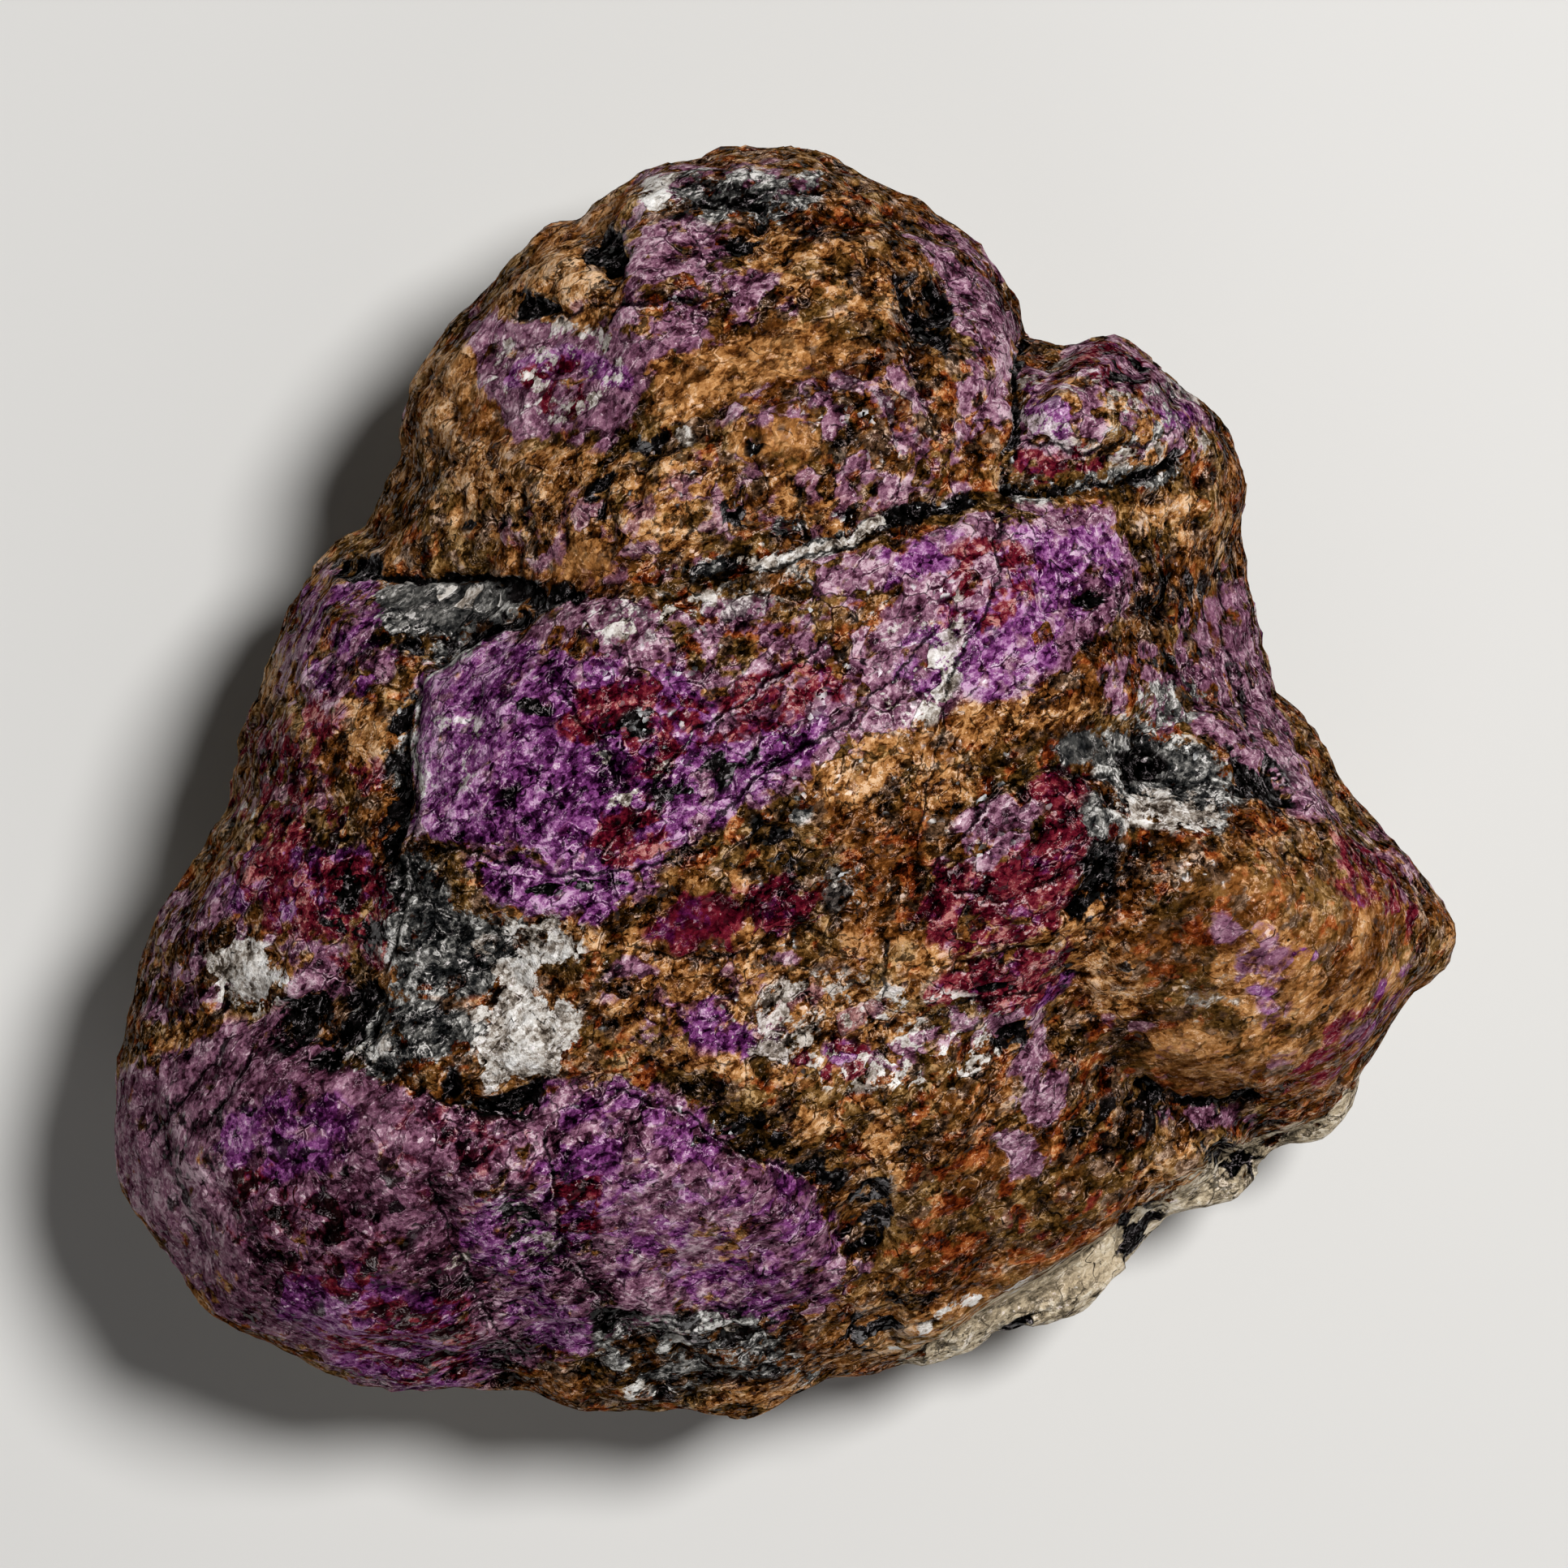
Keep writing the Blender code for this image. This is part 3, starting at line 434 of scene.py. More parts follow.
stains = {  # in pixels of the picture
    "violet": {
        "heart": area(0.26, [
            (660, 1352), (800, 1340), (862, 1372), (902, 1420), (990, 1440), (1015, 1500), (1050, 1556),
            (990, 1612), (930, 1600), (920, 1500), (840, 1470), (820, 1560), (740, 1560), (750, 1420),
        ]),
        "mainPanel": area(0.74, [
            (525, 835), (600, 792), (680, 802), (760, 815), (840, 830), (885, 880), (865, 925), (940, 905),
            (1000, 892), (1000, 935), (930, 985), (860, 1035), (785, 1062), (690, 1058), (600, 1038),
            (506, 1032), (516, 950),
        ]),
        "panelHeart": area(1.0, [
            (650, 900), (760, 880), (850, 930), (850, 1000), (790, 1050), (690, 1050), (620, 1000),
        ]),
        "panelTail": area(0.75, [
            (590, 1062), (700, 1062), (770, 1070), (790, 1100), (720, 1130), (620, 1112),
        ]),
        "upperRight": area(0.42, [
            (1240, 640), (1350, 622), (1365, 660), (1358, 700), (1330, 750), (1290, 790), (1222, 790),
            (1220, 750), (1262, 715), (1240, 690),
        ]),
        "upperRightEnd": area(0.42, [(1200, 800), (1290, 800), (1275, 840), (1225, 852), (1190, 838)]),
        "magenta": area(1.0, [
            (300, 1062), (350, 1042), (440, 1055), (478, 1080), (470, 1115), (400, 1135), (345, 1125),
        ]),
        "lobeBright": area(0.9, [
            (350, 1575), (440, 1560), (560, 1600), (590, 1680), (500, 1700), (400, 1672), (345, 1615),
        ]),
        "leafTip": area(0.95, [(640, 1600), (722, 1610), (726, 1652), (690, 1664), (645, 1640)]),
        "smallLens": area(0.95, [
            (842, 1240), (868, 1226), (900, 1258), (950, 1280), (932, 1308), (880, 1304), (848, 1288),
        ]),
        "shoulderStreak": spot(0.6, 1441, 512, 26, 9, -24),
        "bossDotLow": spot(0.6, 1555, 1228, 9, 20),
        "leaf": spot(0.55, 625, 1530, 40, 60, 20),
        "magentaDot": spot(0.8, 335, 1095, 44, 22, 10),
        "betweenCracks": spot(0.55, 1140, 812, 44, 34, 30),
        "underVein": spot(0.55, 1130, 690, 40, 22, 20),
        "leftFlank": spot(0.36, 425, 790, 50, 70, 10),
        "lensLow": spot(0.36, 1240, 1205, 70, 22, 10),
        "lensMiddle": spot(0.3, 1220, 1120, 70, 50, 40),
        "lensRight": spot(0.5, 1320, 1012, 26, 34),
        "panelSlip": spot(0.8, 935, 945, 70, 26, 25),
        "rightSeam": spot(0.75, 1230, 765, 36, 26, 40),
        "lensGleam": spot(0.85, 1260, 1080, 30, 18, 30),
        "middleDot": spot(0.9, 1033, 1300, 24, 13),
        "shoulderDot": spot(0.7, 1286, 512, 26, 26, 20),
        "lobeDark": spot(0.8, 712, 1450, 40, 52, 70),
        "lobeDarker": spot(0.9, 705, 1510, 20, 24),
        "lobeMiddle": spot(0.45, 900, 1570, 90, 45, -30),
        "lobeLeft": spot(0.6, 350, 1400, 70, 45, 20),
        "lowerLens": spot(0.6, 1262, 1225, 34, 15, 20),
        "bossDot": spot(0.7, 1606, 1173, 13, 9, 40),
        "rightStreak": spot(0.45, 1700, 1226, 46, 7, 45),
        "knobLeftEdge": stroke(0.6, 12, [(640, 470), (700, 440), (770, 470)]),
    },
    "lilac": {
        "rightColumn": area(0.62, [
            (1455, 760), (1500, 740), (1520, 860), (1560, 950), (1520, 960), (1470, 880),
        ]),
        "knobBand": area(0.32, [
            (600, 640), (800, 600), (900, 560), (1000, 520), (1200, 540), (1205, 610), (1060, 640),
            (900, 680), (700, 720),
        ]),
        "bossUnder": area(0.3, [
            (1376, 1262), (1440, 1250), (1560, 1262), (1570, 1320), (1480, 1345), (1390, 1320),
        ]),
        "knobLeft": area(0.8, [
            (580, 392), (640, 387), (700, 397), (790, 400), (850, 418), (800, 468), (775, 520), (745, 553),
            (700, 543), (640, 533), (602, 500), (582, 450),
        ]),
        "knobUpper": area(0.62, [
            (772, 275), (800, 252), (850, 270), (900, 290), (880, 312), (955, 345), (975, 385), (900, 420),
            (850, 428), (780, 418), (690, 395), (600, 392), (700, 380), (770, 365),
        ]),
        "knobRight": area(0.72, [
            (1120, 283), (1180, 302), (1225, 350), (1252, 410), (1245, 470), (1225, 522), (1195, 530),
            (1180, 470), (1190, 420), (1160, 380), (1150, 330),
        ]),
        "knobLowerRight": area(0.4, [
            (960, 470), (1120, 450), (1190, 540), (1200, 600), (1060, 620), (970, 620),
        ]),
        "shoulder": area(0.55, [
            (1262, 462), (1330, 480), (1362, 512), (1400, 500), (1450, 530), (1490, 560), (1420, 552),
            (1330, 552), (1260, 545),
        ]),
        "shoulderTop": area(0.75, [
            (1330, 436), (1380, 424), (1440, 470), (1495, 525), (1450, 528), (1400, 498), (1350, 480),
        ]),
        "panelWhole": area(0.86, [
            (525, 832), (600, 788), (680, 800), (760, 812), (860, 830), (960, 850), (1010, 840),
            (1040, 798), (1100, 760), (1110, 700), (1135, 648), (1240, 632), (1350, 620), (1390, 680),
            (1385, 740), (1340, 796), (1300, 826), (1230, 852), (1180, 850), (1120, 905), (1040, 925),
            (992, 960), (900, 1012), (790, 1062), (690, 1062), (600, 1042), (500, 1040), (518, 950),
        ]),
        "panelTail": area(0.9, [(590, 1060), (760, 1062), (792, 1100), (720, 1132), (615, 1112)]),
        "overPanel": area(0.6, [
            (600, 800), (650, 775), (720, 745), (850, 742), (900, 760), (880, 815), (800, 815), (700, 800),
        ]),
        "belowVein": area(0.5, [
            (800, 790), (900, 750), (1060, 730), (1100, 690), (1040, 790), (960, 830), (860, 820),
        ]),
        "lobe": area(0.85, [
            (146, 1330), (200, 1302), (280, 1262), (350, 1252), (420, 1312), (520, 1352), (640, 1372),
            (660, 1352), (800, 1342), (860, 1372), (900, 1420), (990, 1442), (1012, 1500), (1062, 1558),
            (1000, 1612), (930, 1640), (780, 1640), (720, 1660), (640, 1680), (560, 1704), (490, 1712),
            (400, 1682), (300, 1632), (230, 1582), (160, 1472), (143, 1392),
        ]),
        "lobeHeart": area(0.88, [
            (660, 1352), (800, 1340), (862, 1372), (902, 1420), (990, 1440), (1015, 1500), (1062, 1556),
            (1000, 1612), (880, 1622), (760, 1600), (730, 1500), (750, 1420), (680, 1400),
        ]),
        "leftFlank": area(0.55, [
            (390, 705), (440, 702), (470, 782), (482, 822), (402, 872), (350, 860), (350, 802),
        ]),
        "leftFlankLow": area(0.3, [(320, 880), (400, 880), (420, 990), (300, 1000)]),
        "leftEdge": area(0.55, [
            (215, 1100), (290, 1080), (300, 1180), (250, 1250), (185, 1250), (190, 1160),
        ]),
        "underMagenta": area(0.85, [(332, 1150), (380, 1140), (425, 1175), (420, 1220), (350, 1228)]),
        "lensPatch": area(1.0, [
            (1192, 995), (1235, 978), (1270, 990), (1268, 1030), (1235, 1048), (1220, 1072), (1194, 1066),
            (1186, 1025),
        ]),
        "lensFoot": area(0.85, [
            (1160, 1240), (1210, 1246), (1262, 1236), (1268, 1262), (1225, 1278), (1170, 1272),
        ]),
        "rightFlank": area(0.8, [
            (1502, 702), (1530, 742), (1552, 850), (1602, 932), (1645, 1010), (1612, 1012), (1560, 962),
            (1522, 882), (1506, 802),
        ]),
        "bossSmear": area(0.8, [
            (1495, 1130), (1530, 1140), (1600, 1165), (1614, 1180), (1590, 1212), (1566, 1256),
            (1548, 1262), (1530, 1225), (1502, 1168),
        ]),
        "slopePatch": area(0.85, [(1250, 1282), (1290, 1262), (1312, 1330), (1290, 1402), (1250, 1400)]),
        "slopeFlake": area(0.95, [
            (1220, 1392), (1262, 1385), (1290, 1430), (1282, 1452), (1240, 1446), (1222, 1420),
        ]),
        "creaseFlake": area(0.85, [(1430, 1372), (1500, 1366), (1532, 1376), (1482, 1392)]),
        "rimTop": area(0.6, [
            (790, 225), (870, 205), (960, 210), (1010, 225), (960, 238), (860, 232), (800, 250),
        ]),
        "rightBand": spot(0.62, 1692, 1250, 52, 9, 48),
        "bossFootPink": spot(0.34, 1550, 1300, 50, 26),
        "streakPink": spot(0.55, 956, 500, 60, 24, 10),
        "veinFoot": spot(0.5, 1050, 706, 50, 36),
        "centrePink": spot(0.36, 960, 1245, 150, 70),
        "knobCrust": spot(0.2, 855, 598, 34, 34),
        "middleTop": spot(0.45, 1420, 850, 60, 50),
        "shoulderRed": spot(0.6, 1360, 440, 40, 22),
        "centreFlake": spot(0.7, 765, 1200, 34, 20),
        "centreLow": spot(0.6, 820, 1262, 30, 24, 30),
        "centreRight": spot(0.55, 1110, 1290, 60, 26),
        "tipBack": spot(0.36, 1700, 1070, 50, 22, -40),
    },
    "maroon": {
        "lens": area(0.95, [
            (1115, 1140), (1128, 1098), (1155, 1062), (1180, 1064), (1216, 1080), (1240, 1052),
            (1274, 1032), (1276, 992), (1262, 966), (1285, 946), (1322, 940), (1350, 985), (1362, 1040),
            (1345, 1070), (1312, 1100), (1306, 1170), (1300, 1205), (1250, 1248), (1168, 1236),
            (1150, 1200), (1190, 1180), (1150, 1150),
        ]),
        "patchLeft": area(1.2, [
            (786, 1146), (828, 1106), (890, 1098), (914, 1128), (900, 1168), (835, 1172),
        ]),
        "patchRight": area(1.1, [
            (920, 1108), (958, 1082), (1000, 1086), (1006, 1130), (968, 1150), (926, 1140),
        ]),
        "panelDark": area(0.68, [
            (700, 860), (750, 840), (830, 850), (880, 900), (850, 935), (780, 920), (720, 915),
        ]),
        "panelRight": area(0.85, [
            (895, 850), (960, 820), (1050, 820), (1030, 860), (960, 880), (900, 890),
        ]),
        "flankRed": area(0.4, [(310, 880), (400, 860), (470, 940), (470, 1010), (300, 1040), (280, 980)]),
        "leftRed": area(0.66, [
            (292, 1062), (350, 1042), (470, 1062), (482, 1120), (470, 1190), (400, 1170), (330, 1130),
        ]),
        "panelFoot": area(0.6, [(740, 1010), (800, 990), (830, 1030), (780, 1060), (735, 1050)]),
        "lobeMagenta": spot(0.42, 500, 1640, 90, 46),
        "panelSlip": spot(0.6, 912, 905, 36, 12, 20),
        "panelLow": spot(0.7, 768, 1022, 40, 14, 30),
        "panelMiddle": spot(0.62, 804, 912, 28, 40),
        "panelRound": spot(0.75, 735, 886, 36, 26),
        "redCorner": spot(0.85, 445, 1165, 24, 28),
        "lobeDark": spot(0.44, 712, 1490, 26, 50),
        "shoulderRed": spot(0.7, 1365, 452, 36, 22, 10),
        "shoulderSeam": spot(0.6, 1300, 565, 50, 18),
        "rightSpecks": spot(0.5, 1215, 715, 60, 40, 40),
        "middleLow": spot(0.6, 1010, 1305, 60, 22),
        "lobeLeft": spot(0.42, 380, 1510, 110, 60, -20),
        "lobeMiddle": spot(0.3, 560, 1420, 80, 50),
        "slopeRed": spot(0.14, 1340, 1280, 50, 70, 60),
        "rimRed": spot(0.5, 1690, 1090, 60, 24, -40),
        "bossFoot": spot(0.5, 1640, 1290, 60, 16, 40),
        "slopeFoot": spot(0.25, 1310, 1500, 90, 30),
        "knobRed": spot(0.5, 690, 478, 34, 34, -10),
        "lowRibs": stroke(0.85, 11, [(1140, 1215), (1190, 1200), (1260, 1185), (1300, 1180)]),
    },
    "ochre": {
        "lensTan": area(0.74, [
            (1163, 1130), (1200, 1112), (1262, 1118), (1290, 1150), (1225, 1172), (1175, 1180),
        ]),
        "underPanel": area(0.6, [(1000, 900), (1090, 880), (1145, 900), (1140, 965), (1000, 985)]),
        "beneathRight": area(0.9, [(1160, 935), (1192, 930), (1196, 965), (1175, 1000), (1150, 1005)]),
        "knobTopRight": area(0.5, [
            (974, 300), (1060, 300), (1110, 340), (1090, 384), (1020, 392), (975, 370),
        ]),
        "knobTopLeft": area(0.9, [
            (642, 350), (690, 295), (735, 288), (765, 320), (768, 360), (720, 380), (660, 378),
        ]),
        "knobLeftEdge": area(0.9, [(508, 470), (545, 425), (582, 432), (590, 480), (560, 512), (512, 518)]),
        "knobStreak": area(0.76, [
            (795, 470), (850, 428), (930, 405), (1005, 400), (1060, 430), (1000, 460), (920, 492),
            (840, 520), (790, 512),
        ]),
        "knobTop": area(0.8, [(890, 318), (920, 284), (950, 268), (985, 276), (975, 330), (940, 350)]),
        "crustLeft": area(0.58, [
            (500, 560), (600, 545), (680, 545), (770, 560), (800, 640), (740, 672), (600, 660), (520, 620),
        ]),
        "crustRight": area(0.6, [(790, 560), (830, 555), (885, 570), (890, 660), (830, 684), (780, 650)]),
        "underPebble": area(0.6, [(930, 590), (1010, 580), (1060, 620), (1040, 660), (960, 640)]),
        "centre": area(1.0, [(1000, 940), (1040, 922), (1100, 935), (1090, 975), (1040, 985), (1005, 978)]),
        "beneathCrack": area(0.85, [(1100, 990), (1150, 940), (1200, 940), (1190, 985), (1150, 1005)]),
        "tanStroke": area(1.0, [
            (1176, 868), (1240, 848), (1300, 852), (1335, 868), (1290, 892), (1220, 908), (1176, 900),
        ]),
        "middleRim": area(0.56, [
            (780, 1100), (890, 1082), (930, 1110), (1000, 1150), (900, 1190), (800, 1182), (770, 1140),
        ]),
        "middleBand": area(0.65, [
            (740, 1190), (900, 1185), (1100, 1200), (1130, 1290), (1000, 1340), (840, 1320), (750, 1260),
        ]),
        "ledgeBright": area(1.0, [(1400, 1440), (1420, 1418), (1485, 1410), (1470, 1442), (1420, 1462)]),
        "slopeTan": area(0.9, [(1062, 1355), (1100, 1345), (1115, 1400), (1100, 1462), (1072, 1430)]),
        "slopeTanLeft": area(0.7, [(970, 1350), (1020, 1350), (1035, 1395), (980, 1402)]),
        "ledgeRim": area(0.6, [
            (900, 1720), (1000, 1680), (1130, 1610), (1230, 1590), (1200, 1620), (1080, 1680), (960, 1740),
        ]),
        "shoulderLine": spot(0.6, 1306, 548, 34, 8, -4),
        "streakLow": spot(0.3, 800, 600, 60, 40),
        "bossLeft": spot(0.5, 1374, 1204, 32, 44),
        "roundSide": spot(0.6, 356, 1180, 34, 34),
        "bossEdge": spot(0.6, 1690, 1240, 60, 34, 50),
        "bossUnder": spot(0.6, 1490, 1290, 84, 34),
        "leftEdgeLow": spot(0.5, 325, 850, 18, 70, 20),
        "lobeTanB": spot(0.8, 366, 1537, 30, 14),
        "pocketTan": spot(0.85, 472, 1216, 13, 22),
        "bossFoot": spot(0.6, 1560, 1300, 90, 24, 20),
        "shoulderDot": spot(0.85, 1276, 534, 18, 10),
        "rightSpecks": spot(0.55, 1240, 706, 24, 34),
        "panelDotC": spot(0.75, 880, 858, 26, 16, 10),
        "panelDotB": spot(0.8, 752, 905, 14, 9),
        "panelDot": spot(0.8, 690, 928, 12, 8, 20),
        "lensLow": spot(0.85, 1172, 1172, 34, 18),
        "knobDotB": spot(0.75, 713, 462, 24, 13, 10),
        "knobDotA": spot(0.85, 641, 434, 20, 11, 10),
        "brownPatch": spot(0.55, 725, 700, 40, 24),
        "pebbleLeft": spot(0.55, 931, 543, 26, 28),
        "pebble": spot(0.75, 983, 550, 24, 30, 10),
        "upperRight": spot(0.9, 1442, 632, 46, 24),
        "leftFlank": spot(0.9, 450, 905, 40, 34, 20),
        "lobeTan": spot(0.72, 262, 1575, 55, 28, 10),
        "lobeHeart": spot(0.66, 886, 1545, 44, 66),
        "lobeSide": spot(0.5, 800, 1560, 40, 30),
        "bossOrange": spot(1.1, 1684, 1150, 13, 26),
        "bossLow": spot(0.5, 1650, 1222, 46, 34, 60),
        "bossTop": spot(0.25, 1560, 1080, 110, 34),
        "bossSmear": spot(0.7, 1556, 1200, 64, 58),
        "edgeLeft": spot(0.7, 225, 1270, 22, 24),
        "lensRim": spot(0.8, 1288, 1142, 32, 36, 20),
        "shoulder": spot(0.62, 1370, 522, 90, 34, -10),
        "leftKnobCrust": spot(0.6, 540, 560, 50, 40),
        "leftEdgeHigh": spot(0.75, 392, 716, 18, 40, 25),
        "foot": spot(0.7, 905, 1728, 60, 12, 15),
        "knobLine": stroke(0.8, 20, [(610, 392), (660, 384), (720, 388)]),
        "lensRibLow": stroke(0.7, 5, [(1175, 1226), (1235, 1212), (1292, 1194)]),
        "lensRibTan": stroke(0.75, 5, [(1165, 1180), (1215, 1162), (1275, 1150)]),
        "lensSide": stroke(0.75, 12, [(1370, 1060), (1345, 1110), (1320, 1150), (1325, 1190)]),
        "patchRim": stroke(0.7, 6, [
            (776, 1146), (800, 1112), (840, 1092), (900, 1084), (932, 1115), (914, 1172), (880, 1186),
        ]),
        "tailRim": stroke(0.7, 8, [(620, 1120), (700, 1140), (740, 1160), (800, 1180)]),
    },
    "grey": {
        "seamLeft": area(0.95, [
            (458, 722), (520, 714), (620, 716), (640, 740), (600, 778), (540, 795), (480, 785), (462, 750),
        ]),
        "pocketBand": area(0.95, [
            (470, 1060), (520, 1050), (560, 1120), (640, 1130), (660, 1170), (600, 1214), (480, 1220),
            (465, 1130),
        ]),
        "pocketLow": area(0.8, [
            (420, 1235), (500, 1230), (600, 1260), (560, 1310), (470, 1330), (420, 1300),
        ]),
        "smallPocket": area(0.9, [
            (1340, 910), (1400, 900), (1480, 930), (1530, 990), (1500, 1015), (1400, 1005), (1350, 960),
        ]),
        "frontFoot": area(0.5, [
            (740, 1620), (860, 1625), (960, 1640), (1000, 1690), (860, 1705), (740, 1690),
        ]),
        "backGroove": area(0.7, [(830, 225), (900, 215), (1010, 220), (1000, 255), (930, 275), (850, 265)]),
        "underSeam": spot(0.55, 560, 800, 44, 16, 10),
        "besideLens": spot(0.6, 1356, 1006, 24, 34),
        "lensSide": spot(0.5, 1352, 1084, 16, 44, -20),
        "pocketRound": spot(0.85, 463, 1300, 26, 28),
        "leftBand": spot(0.62, 500, 930, 14, 90),
        "knobSpot": spot(0.6, 962, 642, 20, 14),
        "lensBlob": spot(0.85, 1325, 916, 26, 18, 10),
        "rightOfPanel": spot(0.62, 985, 992, 14, 12),
        "middle": spot(0.34, 1050, 1100, 26, 30, 60),
        "bossTop": spot(0.2, 1420, 1120, 50, 60),
        "bossDark": spot(0.3, 1490, 1230, 20, 60),
        "shoulderTop": spot(0.4, 1420, 500, 50, 20, 30),
        "middleTop": spot(0.42, 1430, 880, 60, 34, 20),
        "underVein": spot(0.3, 880, 740, 110, 26, 15),
        "vein": stroke(1.3, 9, [(856, 700), (900, 688), (960, 678), (1020, 668), (1060, 658), (1092, 646)]),
        "veinRight": stroke(0.6, 13, [(1250, 602), (1320, 598), (1380, 588), (1440, 572)]),
    },
    # Pale quartz and pale flecks, and painted glints in the spots named for glints and glow
    "white": {
        "pocketWhite": area(1.2, [
            (620, 1190), (650, 1160), (705, 1155), (715, 1180), (670, 1195), (665, 1222), (705, 1240),
            (700, 1310), (655, 1335), (612, 1325), (592, 1290), (600, 1245),
        ]),
        "smallPocket": area(0.8, [
            (1375, 990), (1420, 985), (1475, 990), (1500, 1008), (1440, 1022), (1385, 1020),
        ]),
        "knobSide": spot(0.08, 1150, 500, 40, 40),
        "shoulderFlecks": spot(0.22, 1370, 510, 100, 44, -10),
        "knobRight": spot(0.1, 1060, 500, 76, 70),
        "centreCream": spot(0.3, 1060, 1270, 150, 60),
        "leaf": spot(0.22, 640, 1500, 30, 60, 20),
        "bossPink": spot(0.16, 1545, 1190, 14, 40, -10),
        "knobLeft": spot(0.3, 690, 460, 80, 56),
        "rightGlint": spot(0.34, 1130, 850, 50, 24, 40),
        "heartSpeck": spot(0.4, 768, 1545, 16, 12),
        "panelGlint": spot(0.34, 786, 962, 34, 8, 40),
        "overPanel": spot(0.32, 800, 756, 60, 14, 10),
        "panelLeft": spot(0.27, 556, 930, 30, 70),
        "shoulderCream": spot(0.4, 1384, 545, 16, 9, 10),
        "roundSpot": spot(1.0, 308, 1198, 46, 36),
        "middleSpot": spot(0.8, 672, 1142, 34, 16, -20),
        "underTail": spot(0.5, 640, 1155, 40, 12),
        "seamGlow": spot(0.34, 560, 742, 50, 14),
        "backSpot": spot(0.7, 812, 240, 16, 10),
        "footA": spot(0.4, 855, 1640, 16, 14),
        "footB": spot(0.4, 905, 1662, 18, 12),
        "footC": spot(0.4, 790, 1700, 18, 10),
        "shoulder": spot(0.15, 1440, 640, 30, 12),
        "panelSpeck": spot(0.6, 742, 932, 10, 8),
        "flankSpeck": spot(0.6, 305, 1002, 12, 9),
        # A painted glint
        "paintedGlint": spot(0.9, 847, 532, 5, 7, 20),
        "pocketRim": spot(0.4, 440, 1290, 26, 14, 10),
        "lobeEdge": spot(0.5, 718, 1602, 10, 5),
        "veinFoot": spot(0.36, 1150, 1305, 55, 20, 10),
        "leafRim": spot(0.3, 555, 1530, 8, 40, 30),
        "rightLilac": spot(0.26, 1130, 780, 60, 44, 50),
        "panelEdge": stroke(0.85, 2.5, [(521, 1000), (519, 930), (523, 850), (560, 812), (615, 775)]),
        "veinPale": stroke(0.85, 5, [(900, 690), (960, 678), (1020, 668), (1060, 658), (1092, 644)]),
        "ledgeEdge": stroke(0.42, 4, [
            (1090, 1662), (1180, 1612), (1290, 1570), (1400, 1515), (1450, 1478),
        ]),
    },
    # Black minerals and dark flecks, and painted shadow in gaps, pits, pockets and creases
    "blackAndShadow": {
        "slopeDark": area(0.45, [(888, 1400), (960, 1390), (1035, 1450), (1040, 1466), (960, 1440)]),
        "knobTopLeft": area(0.9, [(735, 292), (770, 285), (772, 342), (745, 340), (722, 320)]),
        "underTopLeft": area(0.8, [(640, 365), (690, 375), (700, 388), (640, 388)]),
        "knobRightPit": area(0.8, [
            (1100, 345), (1140, 350), (1165, 390), (1160, 440), (1130, 420), (1110, 385),
        ]),
        "leftBand": area(0.9, [
            (490, 868), (514, 858), (510, 950), (500, 1040), (486, 1104), (474, 1060), (483, 960),
        ]),
        "seamDark": area(0.9, [(490, 800), (560, 790), (640, 752), (660, 762), (590, 800), (540, 825)]),
        "seamEnd": area(1.0, [(622, 730), (660, 722), (700, 728), (712, 740), (680, 752), (630, 752)]),
        "pocketRight": area(0.85, [
            (560, 1320), (600, 1345), (660, 1345), (650, 1368), (590, 1372), (556, 1345),
        ]),
        "pocketMiddle": area(0.6, [(340, 1235), (400, 1215), (470, 1240), (450, 1280), (380, 1285)]),
        "smallPocket": area(1.0, [(1375, 935), (1410, 925), (1434, 940), (1424, 964), (1390, 964)]),
        "lensSide": area(0.62, [
            (1350, 1040), (1375, 1050), (1360, 1100), (1330, 1140), (1312, 1130), (1335, 1085),
        ]),
        "slopePit": area(0.5, [
            (1040, 1470), (1085, 1455), (1092, 1490), (1080, 1530), (1055, 1530), (1062, 1495),
        ]),
        "slopeShade": area(0.5, [
            (840, 1330), (880, 1345), (930, 1375), (950, 1405), (890, 1395), (850, 1365),
        ]),
        "centrePit": area(0.75, [(930, 1010), (985, 1010), (990, 1040), (960, 1070), (930, 1050)]),
        "bossBack": area(0.7, [(1510, 930), (1560, 950), (1590, 990), (1570, 1000), (1520, 975)]),
        "lobeFoot": area(0.7, [(735, 1610), (790, 1620), (780, 1650), (735, 1640)]),
        "matrixGap": area(0.9, [(1375, 1495), (1420, 1478), (1425, 1530), (1395, 1560), (1370, 1540)]),
        "lowDark": area(0.6, [(1040, 1620), (1120, 1600), (1100, 1640), (1040, 1660)]),
        "pocketEnd": spot(0.45, 384, 1296, 44, 16, -20),
        "besideCrease": spot(0.42, 1385, 1376, 44, 26),
        "lobeShade": spot(0.38, 430, 1490, 90, 70),
        "frontFoot": spot(0.42, 860, 1665, 120, 40),
        "knobRight": spot(0.28, 1060, 500, 76, 70),
        "lobeBright": spot(0.36, 490, 1630, 90, 46, -10),
        "bossCrack": spot(0.4, 1400, 1170, 10, 36, -10),
        "crustStreakD": spot(0.5, 800, 540, 26, 10, 20),
        "crustStreakC": spot(0.55, 905, 622, 9, 34, -10),
        "crustStreakB": spot(0.5, 620, 640, 40, 9, 10),
        "crustStreakA": spot(0.55, 742, 610, 8, 40, -20),
        "underPanel": spot(0.6, 700, 1090, 60, 8),
        "panelFleckF": spot(0.42, 826, 966, 10, 34, -40),
        "panelFleckE": spot(0.42, 852, 916, 18, 12),
        "panelFleckC": spot(0.4, 640, 992, 28, 13, 10),
        "panelFleckB": spot(0.46, 786, 888, 26, 14, 30),
        "panelFleckA": spot(0.44, 656, 862, 26, 12),
        "pocketBlack": spot(0.85, 445, 1232, 28, 22),
        "leftMaroon": spot(0.44, 440, 1130, 36, 44),
        "brownSpeckle": spot(0.42, 1440, 760, 40, 110),
        "knobNotch": spot(0.8, 905, 298, 24, 12, 20),
